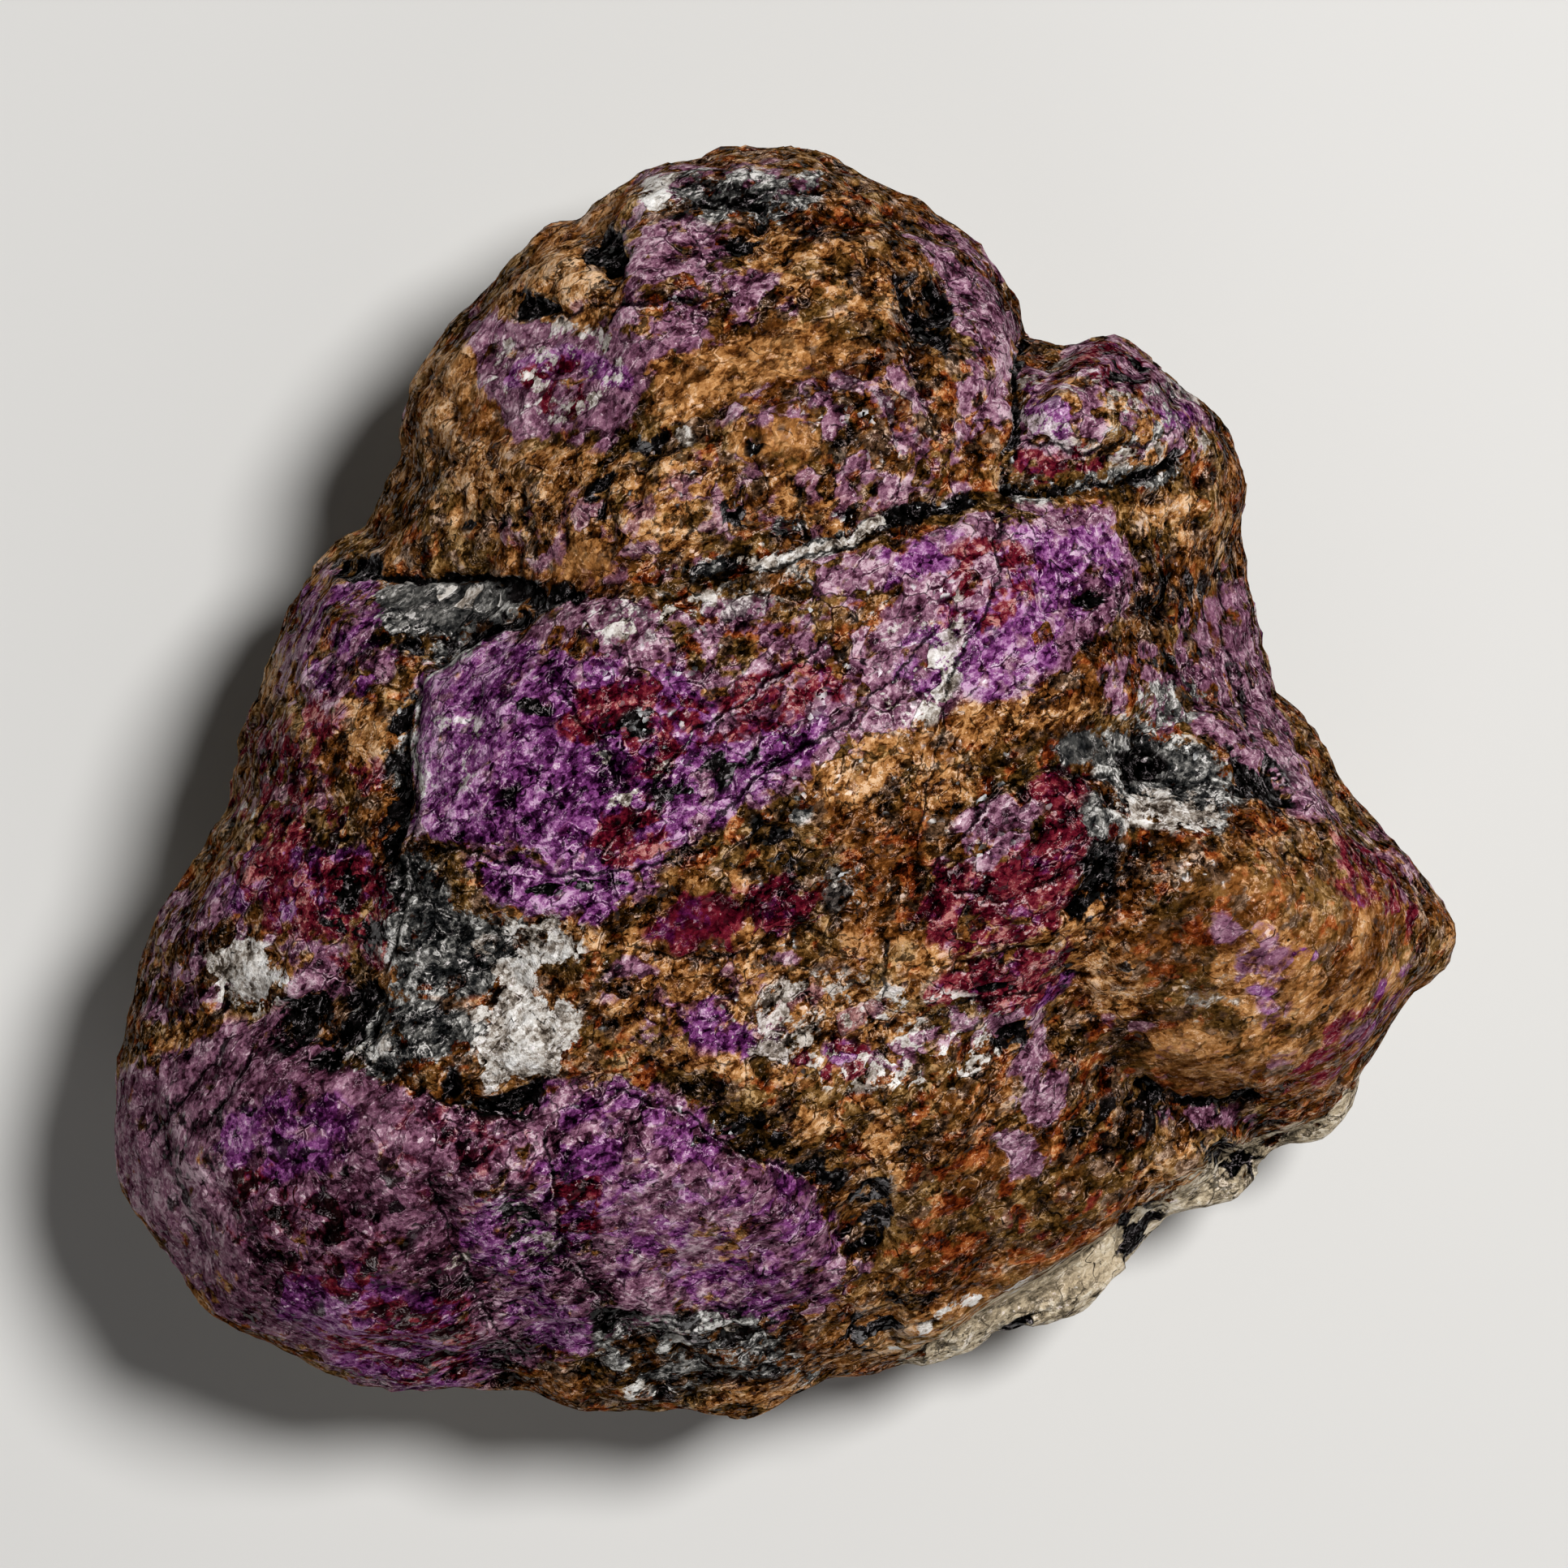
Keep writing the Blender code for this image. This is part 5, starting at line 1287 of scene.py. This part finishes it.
def fineRelief(points, found, high):
    # Height in millimetres along the normal: scoops, grains, waves, cleavage steps that rise slowly and
    # fall at once, pits in the crust, and cracks of depth * exp(-(distance / width)^2).
    upper = smoothStep(high, *surface["upperBand"])
    rough = 1 - surface["calmShare"] * smoothStep(found["calm"], *surface["calmBand"])
    stained = np.maximum(found["violet"], np.maximum(found["lilac"], found["maroon"]))
    stained = smoothStep(stained, *surface["stainBand"])
    crust = (1 - stained) * (1 - smoothStep(found["matrix"], *surface["stainBand"])) * rough
    scoopSize, scoopDepth = surface["scoops"]
    grainSize, grainHeight = surface["grains"]
    pitSize, pitDepth = surface["pits"]
    stepWidth, stepHeight, stepWander = surface["steps"]

    height = scoopDepth * rough * (broken["lift"] - brokenFaces(points, scoopSize, salts["scoops"]))
    domes = brokenFaces(points, grainSize, salts["grains"]) - broken["lift"]
    height += grainHeight * rough * domes * (1 - surface["stainedGrain"] * stained)
    for k, (size, rise) in enumerate(surface["waves"]):
        height += rise * rough * latticeNoise(points, size, salts["waves"] + k)
    turn = np.radians(surface["layerTurn"])
    across = points[:, 1] * np.cos(turn) - points[:, 0] * np.sin(turn)
    stair = across / stepWidth + stepWander * layeredNoise(points, surface["stepLayers"], salts["steps"])
    share = stair - np.floor(stair)
    stepRise = stepHeight * (surface["bareSteps"] + (1 - surface["bareSteps"]) * stained) * rough
    height += stepRise * (share - smoothStep(share, surface["fallFrom"], 1.0))
    pit = latticeNoise(points, pitSize, salts["pits"])
    pit += 0.5 * latticeNoise(points, pitSize / 2, salts["pits"] + 1)
    height -= pitDepth * smoothStep(pit, *surface["pitBand"]) * crust * upper
    blackAndShadow = smoothStep(found["blackAndShadow"], *surface["darkBand"])
    crack = np.exp(-((found["crackDistance"] / surface["crackWidth"]) ** 2))
    height -= np.maximum(surface["darkDepth"] * blackAndShadow, surface["crackDepth"] * crack) * upper
    return height


layers = {  # what each colour attribute carries, for the material
    "stainColours": ("violet", "lilac", "maroon", "ochre"),
    # Grey, white, black minerals with painted shadow, and the matrix
    "mineralsAndShadow": ("grey", "white", "blackAndShadow", "matrix"),
    # The first of these is painted shade in hollows and painted light and shade, part true tone
    "shadeAndWear": ("hollow", "calm", "crackSide", "crackDistance"),
}


def makeRock():
    # This layer paints shade and light into the colour: 0.5 + height over the smoothed rock / hollowDepth, so
    # hollows are painted darker and ridges lighter, plus the painted lightness, part true tone and part
    # painted light and shade, over its range.
    places, quads = cubeLattice(surface["cells"])
    points, high = rockSurface(cubeDirections(places))
    found = stainsOn(points, high)
    print("rock form and stains worked out:", len(points), "points")

    normals = pointNormals(points, quads)
    offGround = smoothStep(points[:, 2], *surface["groundBand"])
    points = points + normals * (fineRelief(points, found, high) * offGround)[:, None]
    points[:, 2] = np.maximum(points[:, 2], 0)
    normals = pointNormals(points, quads)
    softer = np.stack([smoothed(part, quads, surface["hollowSteps"]) for part in points.T], axis=1)
    raised = ((points - softer) * normals).sum(axis=1) / surface["hollowDepth"]
    hollow = np.clip(0.5 + raised + found["lightness"] / surface["lightnessRange"], 0, 1)

    mesh = bpy.data.meshes.new("purpuriteRock")
    mesh.from_pydata((points * mm).tolist(), [], quads.tolist())
    mesh.shade_smooth()
    found["hollow"] = hollow
    found["crackSide"] = 0.5 + found["crackSide"] / (2 * staining["crackReach"])
    found["crackDistance"] /= staining["crackReach"]
    for name, kinds in layers.items():
        layer = mesh.attributes.new(name, "FLOAT_COLOR", "POINT")
        layer.data.foreach_set("color", np.stack([found[kind] for kind in kinds], axis=1).ravel())
    rock = bpy.data.objects.new("purpuriteRock", mesh)
    bpy.context.scene.collection.objects.link(rock)
    return rock


# The stone's finish, with painted glints and painted shade

stone = {
    # Each noise's size in millimetres, detail and roughness
    "mottle": (5.0, 3, 0.6),
    "grain": (0.75, 5, 0.73),
    "patches": (1.1, 3, 0.55),
    "wanders": (1.3, 5, 0.7),
    "grainStretch": 1.2,
    # The size, warp and stretch of single crystals, and of the plates that they lie in
    "cells": (0.2, 0.3, 1.3),
    "plates": (1.0, 0.9, 1.35),
    "plateTurn": 38,  # degrees from +X
    # What makes up the grain, which is 0 in the pits and 1 on the painted glints; its coarse part adds
    # painted shade in hollows and painted light and shade
    "fineWeights": {"plates": 0.32, "cells": 0.44, "wanders": 0.6, "grain": 2.5},
    "coarseWeights": {"mottle": 0.4, "hollow": 0.7},
    # How far the painted glints lift the grain
    "glintLift": 0.5,
    "grainLevel": 0.46,
    "calmLift": 0.05,
    # How far each noise moves the edges of whole stains, and of flecked ones
    "wholeMoves": {"patches": 2.2, "plates": 0.6},
    "fleckMoves": {"wanders": 1.2, "grain": 2.2, "plates": 0.6},
    "covers": {  # which part of the noises moves a stain's edge, how soft it is, and whether it is flecked
        "ochre": (1, 0.12, False),
        "lilac": (0, 0.1, False),
        "violet": (2, 0.14, False),
        "maroon": (1, 0.1, False),
        "grey": (0, 0.08, True),
        "white": (2, 0.06, True),
        "matrix": (0, 0.06, False),
        "blackAndShadow": (1, 0.06, False),
    },
    "coverFade": (0.0, 0.45),
    "spill": 0.14,  # what lilac adds to violet, and violet to maroon
    "whiteStrength": 1.12,
    # Between which levels of a noise each of these colours comes in
    "mixes": {"olive": (0.42, 0.58), "taupe": (0.52, 0.6), "rust": (0.54, 0.62), "magenta": (0.54, 0.66)},
    # Fine lines and dots, as painted glints and painted shade: the width of a line, then the levels between
    # which noises show them
    "flakeEdgeGlints": (0.014, (0.52, 0.56)),
    "glintLines": (0.01, (0.56, 0.62)),
    "plateRimGlints": (0.08, (0.03, 0.01), (0.5, 0.56), (0.48, 0.54)),
    "glintSpecks": ((0.93, 0.94), (0.54, 0.6)),
    "crackRimGlints": (0.17, (0.07, 0.02), (0.52, 0.58)),
    "cracks": ((0.17, 0.04), (0.38, 0.43)),
    "crackEnds": (0.35, 0.25),
    "crackWander": 1.3,
    "hairlines": (0.006, (0.48, 0.43)),
    "plateGaps": ((0.045, 0.012), (0.46, 0.52)),
    "pits": (0.42, 0.37),
    "pitMoves": {"wanders": 0.5, "cells": 0.1, "patches": 0.4},
    # What a bare place, or for the last two a white one, adds to their strength, and that strength
    "glintShare": (-0.2, 0.5),
    "pitShare": (0.25, 0.65),
    "whitePits": (-0.6, 1.0),
    "whiteGaps": (-0.6, 0.85),
    "edgeGlint": 0.5,
    "pitShade": 0.92,
    "bump": 3.0,
    "bumpHeight": 0.12,
    "tilts": {"cells": 0.31, "plates": 0.38},
    "shiny": (0.8, 0.86),
    "shineRoughness": 0.25,
    "roughness": 0.6,
    "coat": 0.3,
    "coatRoughness": 0.22,
    "refraction": 1.55,
}
rampPlaces = (0.02, 0.3, 0.55, 0.8, 1.0)
palette = {  # the colours at those places of the grain, as red, green and blue out of 255
    "brown": [(2, 1, 0), (46, 20, 3), (94, 52, 18), (134, 83, 40), (190, 136, 86)],
    "olive": [(2, 1, 0), (41, 26, 6), (86, 58, 24), (128, 93, 50), (182, 146, 100)],
    "taupe": [(3, 1, 1), (38, 24, 14), (88, 62, 42), (132, 102, 80), (200, 168, 142)],
    "rust": [(8, 1, 0), (66, 20, 5), (122, 54, 20), (172, 102, 54), (214, 160, 112)],
    "ochre": [(10, 3, 0), (84, 45, 16), (154, 102, 54), (196, 144, 92), (224, 184, 144)],
    "violet": [(8, 0, 8), (58, 16, 54), (114, 52, 110), (160, 104, 152), (198, 158, 190)],
    "lilac": [(10, 2, 5), (64, 30, 45), (120, 76, 98), (160, 118, 136), (202, 170, 182)],
    "maroon": [(5, 0, 1), (54, 4, 15), (94, 17, 32), (126, 46, 54), (182, 120, 114)],
    "grey": [(1, 2, 2), (25, 26, 27), (70, 69, 67), (136, 133, 128), (214, 211, 206)],
    "white": [(56, 46, 38), (148, 136, 124), (204, 197, 189), (227, 222, 216), (245, 242, 238)],
    "matrix": [(50, 44, 36), (134, 120, 98), (186, 168, 140), (212, 197, 171), (230, 219, 200)],
    # Near black, for black minerals and painted shadow
    "blackAndShadow": [(0, 0, 0), (3, 3, 2), (10, 8, 8), (28, 24, 24), (100, 98, 98)],
    "magenta": [(6, 0, 4), (56, 6, 40), (96, 28, 74), (128, 64, 106), (186, 132, 168)],
}
# The colour of the painted glints
glintColour = (214, 196, 200)


def linear(colour):
    # From screen values out of 255 to light: ((c + 0.055) / 1.055)^2.4, or c / 12.92 if dark.
    shares = [part / 255 for part in colour]
    return tuple(((c + 0.055) / 1.055) ** 2.4 if c > 0.04 else c / 12.92 for c in shares)


def stoneMaterial():
    material = bpy.data.materials.new("weatheredPurpuriteWithPaintedLight")
    material.use_nodes = True
    tree = material.node_tree
    shader = tree.nodes["Principled BSDF"]

    def add(kind, inputs=(), output=0, **settings):
        node = tree.nodes.new(kind)
        for name, value in settings.items():
            setattr(node, name, value)
        for key, value in dict(inputs).items():
            if isinstance(value, bpy.types.NodeSocket):
                tree.links.new(value, node.inputs[key])
            else:
                node.inputs[key].default_value = value
        return node.outputs[output]

    def calc(operation, a, b=0.0, c=0.0):
        return add("ShaderNodeMath", {0: a, 1: b, 2: c}, operation=operation)

    def product(first, *others):
        for other in others:
            first = calc("MULTIPLY", first, other)
        return first

    def greatest(first, *others):
        for other in others:
            first = calc("MAXIMUM", first, other)
        return first

    def plus(value, share, base=0.0):
        # base + share * value
        return calc("MULTIPLY_ADD", value, share, base)

    def centred(value):
        return calc("SUBTRACT", value, 0.5)

    def plusAll(base, weights, **noises):
        # base + the sum of weight * (noise - 0.5)
        for name, value in noises.items():
            base = plus(centred(value), weights[name], base)
        return base

    def noise(vector, name):
        size, detail, roughness = stone[name]
        inputs = {"Vector": vector, "Scale": 1 / size, "Detail": detail, "Roughness": roughness}
        return add("ShaderNodeTexNoise", inputs, 1)

    def step(value, low, high):
        inputs = {0: value, 1: low, 2: high, 3: 0.0, 4: 1.0}
        return add("ShaderNodeMapRange", inputs, interpolation_type="SMOOTHSTEP")

    def colours(name, grain):
        ramp = tree.nodes.new("ShaderNodeValToRGB")
        tree.links.new(grain, ramp.inputs[0])
        stops = ramp.color_ramp.elements
        while len(stops) < len(rampPlaces):
            stops.new(0.5)
        for stop, position, colour in zip(stops, rampPlaces, palette[name], strict=True):
            stop.position = position
            stop.color = (*linear(colour), 1)
        return ramp.outputs[0]

    def mix(share, first, second):
        node = tree.nodes.new("ShaderNodeMix")
        node.data_type = "RGBA"
        for key, value in ((0, share), (6, first), (7, second)):
            tree.links.new(value, node.inputs[key])
        return node.outputs[2]

    def parts(colour):
        return add("ShaderNodeSeparateColor", {0: colour}).node.outputs

    def stretched(vector, stretch):
        turn = (0, 0, np.radians(stone["plateTurn"]))
        inputs = {"Vector": vector, "Rotation": turn, "Scale": (stretch, 1, 1)}
        return add("ShaderNodeMapping", inputs, vector_type="TEXTURE")

    def offCentre(vector, share):
        centre = add("ShaderNodeVectorMath", {0: vector, 1: (0.5, 0.5, 0.5)}, operation="SUBTRACT")
        return add("ShaderNodeVectorMath", {0: centre, 3: share}, operation="SCALE")

    # What the surface carries, by name
    found = {}
    for name, kinds in layers.items():
        colour = add("ShaderNodeAttribute", attribute_name=name)
        found |= zip(kinds, [*parts(colour), colour.node.outputs["Alpha"]], strict=True)
    found["violet"] = plus(found["lilac"], stone["spill"], found["violet"])
    found["maroon"] = plus(found["violet"], stone["spill"], found["maroon"])
    found["white"] = product(found["white"], stone["whiteStrength"])
    rough = plus(found["calm"], -surface["calmShare"], 1.0)

    # The noises, in millimetres, each with three parts
    objectPlace = add("ShaderNodeTexCoord", output=3)
    place = add("ShaderNodeVectorMath", {0: objectPlace, 3: 1 / mm}, operation="SCALE")
    drawnOut = stretched(place, stone["grainStretch"])
    fractal = noise(drawnOut, "grain")
    patchField = noise(drawnOut, "patches")
    grains, patches, mottles, wanders = (
        parts(field) for field in (fractal, patchField, noise(place, "mottle"), noise(place, "wanders"))
    )

    def crystals(name, feature="F1", output=1):
        size, warp, stretch = stone[name]
        bent = add("ShaderNodeVectorMath", {0: place, 1: offCentre(patchField, warp)}, operation="ADD")
        inputs = {"Vector": stretched(bent, stretch), "Scale": 1 / size}
        return add("ShaderNodeTexVoronoi", inputs, output, feature=feature)

    cells, plates = crystals("cells"), crystals("plates")
    plateEdge = crystals("plates", "DISTANCE_TO_EDGE", 0)
    cellParts, plateParts = parts(cells), parts(plates)

    # The edges of the stains wander, and whole plates keep or lose the stain. A flecked one is broken finer.
    def cover(strength, part, softness, flecked):
        if flecked:
            noises = {"wanders": wanders[part], "grain": grains[part], "plates": plateParts[part]}
            moved = plusAll(0.0, stone["fleckMoves"], **noises)
        else:
            moved = plusAll(0.0, stone["wholeMoves"], patches=patches[part], plates=plateParts[part])
        edge = step(plus(moved, rough, strength), 0.5 - softness, 0.5 + softness)
        return product(edge, step(strength, *stone["coverFade"]))

    covers = {name: cover(found[name], *values) for name, values in stone["covers"].items()}
    covered = greatest(*(covers[name] for name in ("lilac", "violet", "maroon", "white", "matrix")))
    bare = calc("SUBTRACT", 1.0, covered)

    # Painted glints: short pale flake edges, single bright crystal specks, and the pale rim beside each
    # crack, all painted as highlights
    def hairline(value, width):
        return step(calc("ABSOLUTE", centred(value)), width, width / 3)

    def awayFrom(value, level):
        return calc("ABSOLUTE", calc("SUBTRACT", value, level))

    width, band = stone["flakeEdgeGlints"]
    edge = product(hairline(wanders[2], width), step(grains[1], *band))
    width, band = stone["glintLines"]
    glintLine = product(hairline(grains[2], width), step(wanders[1], *band))
    level, ends, band, otherBand = stone["plateRimGlints"]
    plateRimGlint = product(step(awayFrom(plateEdge, level), *ends), step(grains[1], *band))
    plateRimGlint = product(plateRimGlint, step(wanders[0], *otherBand))
    edge = greatest(edge, glintLine, plateRimGlint)
    band, otherBand = stone["glintSpecks"]
    glintSpeck = product(step(cellParts[1], *band), step(grains[0], *otherBand))
    side = plus(centred(found["crackSide"]), 2 * staining["crackReach"])
    side = plus(centred(wanders[0]), stone["crackWander"], side)
    nearCrack = step(found["crackDistance"], *stone["crackEnds"])
    level, ends, band = stone["crackRimGlints"]
    rim = product(step(awayFrom(side, level), *ends), nearCrack, step(grains[2], *band))

    noises = {"plates": plateParts[0], "cells": cellParts[0], "wanders": wanders[1], "grain": grains[0]}
    fine = plusAll(0.0, stone["fineWeights"], **noises)
    fine = plus(greatest(edge, glintSpeck, rim), stone["glintLift"], fine)
    grain = plus(fine, rough, plus(found["calm"], stone["calmLift"], stone["grainLevel"]))
    # Painted shade in hollows and painted light and shade darken or lighten the grain
    grain = plusAll(grain, stone["coarseWeights"], mottle=mottles[0], hollow=found["hollow"])

    colour = colours("brown", grain)
    for name, value in (("olive", mottles[1]), ("taupe", patches[2]), ("rust", patches[1])):
        colour = mix(step(value, *stone["mixes"][name]), colour, colours(name, grain))
    for name, share in covers.items():
        shown = colours(name, grain)
        if name == "maroon":
            shown = mix(step(wanders[0], *stone["mixes"]["magenta"]), shown, colours("magenta", grain))
        colour = mix(share, colour, shown)
    # The painted glints are mixed into the colour as highlights
    glint = add("ShaderNodeRGB")
    glint.default_value = (*linear(glintColour), 1)
    glints = product(greatest(glintSpeck, rim, product(edge, stone["edgeGlint"])), rough)
    colour = mix(product(glints, plus(bare, *stone["glintShare"])), colour, glint)

    # Painted shade in dark pits, hairlines, cracks and the gaps between plates
    noises = {"wanders": wanders[2], "cells": cellParts[2], "patches": patches[0]}
    pit = step(plusAll(grains[2], stone["pitMoves"], **noises), *stone["pits"])
    pit = product(pit, rough, plus(bare, *stone["pitShare"]), plus(covers["white"], *stone["whitePits"]))
    ends, band = stone["cracks"]
    crack = product(step(calc("ABSOLUTE", side), *ends), nearCrack)
    width, otherBand = stone["hairlines"]
    crack = greatest(crack, product(hairline(mottles[2], width), step(wanders[0], *otherBand)))
    crack = product(crack, step(wanders[1], *band))
    ends, band = stone["plateGaps"]
    gap = product(step(plateEdge, *ends), step(wanders[0], *band), rough)
    gap = product(gap, plus(covers["white"], *stone["whiteGaps"]))
    shade = plus(greatest(pit, crack, gap), -stone["pitShade"], 1.0)
    colour = add("ShaderNodeVectorMath", {0: colour, 3: shade}, operation="SCALE")
    tree.links.new(colour, shader.inputs["Base Color"])

    # Some crystals lie flat and shine
    shine = step(cellParts[2], *stone["shiny"])
    roughness = plus(shine, stone["shineRoughness"] - stone["roughness"], stone["roughness"])
    tree.links.new(roughness, shader.inputs["Roughness"])
    tree.links.new(product(shine, stone["coat"]), shader.inputs["Coat Weight"])
    shader.inputs["Coat Roughness"].default_value = stone["coatRoughness"]
    shader.inputs["IOR"].default_value = stone["refraction"]
    shader.inputs["Specular IOR Level"].default_value = 0.0

    normal = add("ShaderNodeNewGeometry", output=1)
    for field, tilt in ((cells, stone["tilts"]["cells"]), (plates, stone["tilts"]["plates"])):
        normal = add("ShaderNodeVectorMath", {0: normal, 1: offCentre(field, tilt)}, operation="ADD")
    normal = add("ShaderNodeVectorMath", {0: normal}, operation="NORMALIZE")
    bump = add("ShaderNodeBump", {
        "Height": product(fractal.node.outputs[0], stone["bump"]),
        "Strength": rough,
        "Distance": stone["bumpHeight"] * mm,
        "Normal": normal,
    })
    tree.links.new(bump, shader.inputs["Normal"])
    return material


rock = makeRock()
rock.data.materials.append(stoneMaterial())
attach(rock, "root")
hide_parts("purpurite_rock")
print("rock made:", len(rock.data.polygons), "faces")

# The studio

studio = {
    "floorSize": 3.0,
    "floorColour": (0.62, 0.61, 0.59),
    "floorRoughness": 0.9,
    "keyPlace": (0.18, 0.12, 0.52),
    "keySize": 0.14,
    "keyPower": 3.75,
    "fillPlace": (0.1, -0.45, 0.35),
    "fillSize": 0.4,
    "fillPower": 0.4,
    "skyStrength": 0.05,
}


def makeFloor():
    half = studio["floorSize"] / 2
    mesh = bpy.data.meshes.new("paleFloor")
    corners = [(-half, -half, 0), (half, -half, 0), (half, half, 0), (-half, half, 0)]
    mesh.from_pydata(corners, [], [(0, 1, 2, 3)])
    material = bpy.data.materials.new("palePaint")
    material.use_nodes = True
    shader = material.node_tree.nodes["Principled BSDF"]
    shader.inputs["Base Color"].default_value = (*studio["floorColour"], 1)
    shader.inputs["Roughness"].default_value = studio["floorRoughness"]
    mesh.materials.append(material)
    floor = bpy.data.objects.new("paleFloor", mesh)
    bpy.context.scene.collection.objects.link(floor)


def makeLight(name, place, size, power):
    data = bpy.data.lights.new(name, "AREA")
    data.shape = "DISK"
    data.size = size
    data.energy = power
    light = bpy.data.objects.new(name, data)
    light.location = place
    towards = Vector((0, 0, form["rimHeight"] * mm)) - Vector(place)
    light.rotation_mode = "QUATERNION"
    light.rotation_quaternion = towards.to_track_quat("-Z", "Y")
    bpy.context.scene.collection.objects.link(light)


makeFloor()
makeLight("softKey", studio["keyPlace"], studio["keySize"], studio["keyPower"])
makeLight("softFill", studio["fillPlace"], studio["fillSize"], studio["fillPower"])
world = bpy.data.worlds.new("greySky")
world.use_nodes = True
world.node_tree.nodes["Background"].inputs["Color"].default_value = (1, 1, 1, 1)
world.node_tree.nodes["Background"].inputs["Strength"].default_value = studio["skyStrength"]
bpy.context.scene.world = world
bpy.context.scene.view_settings.view_transform = "Standard"
print("studio made")
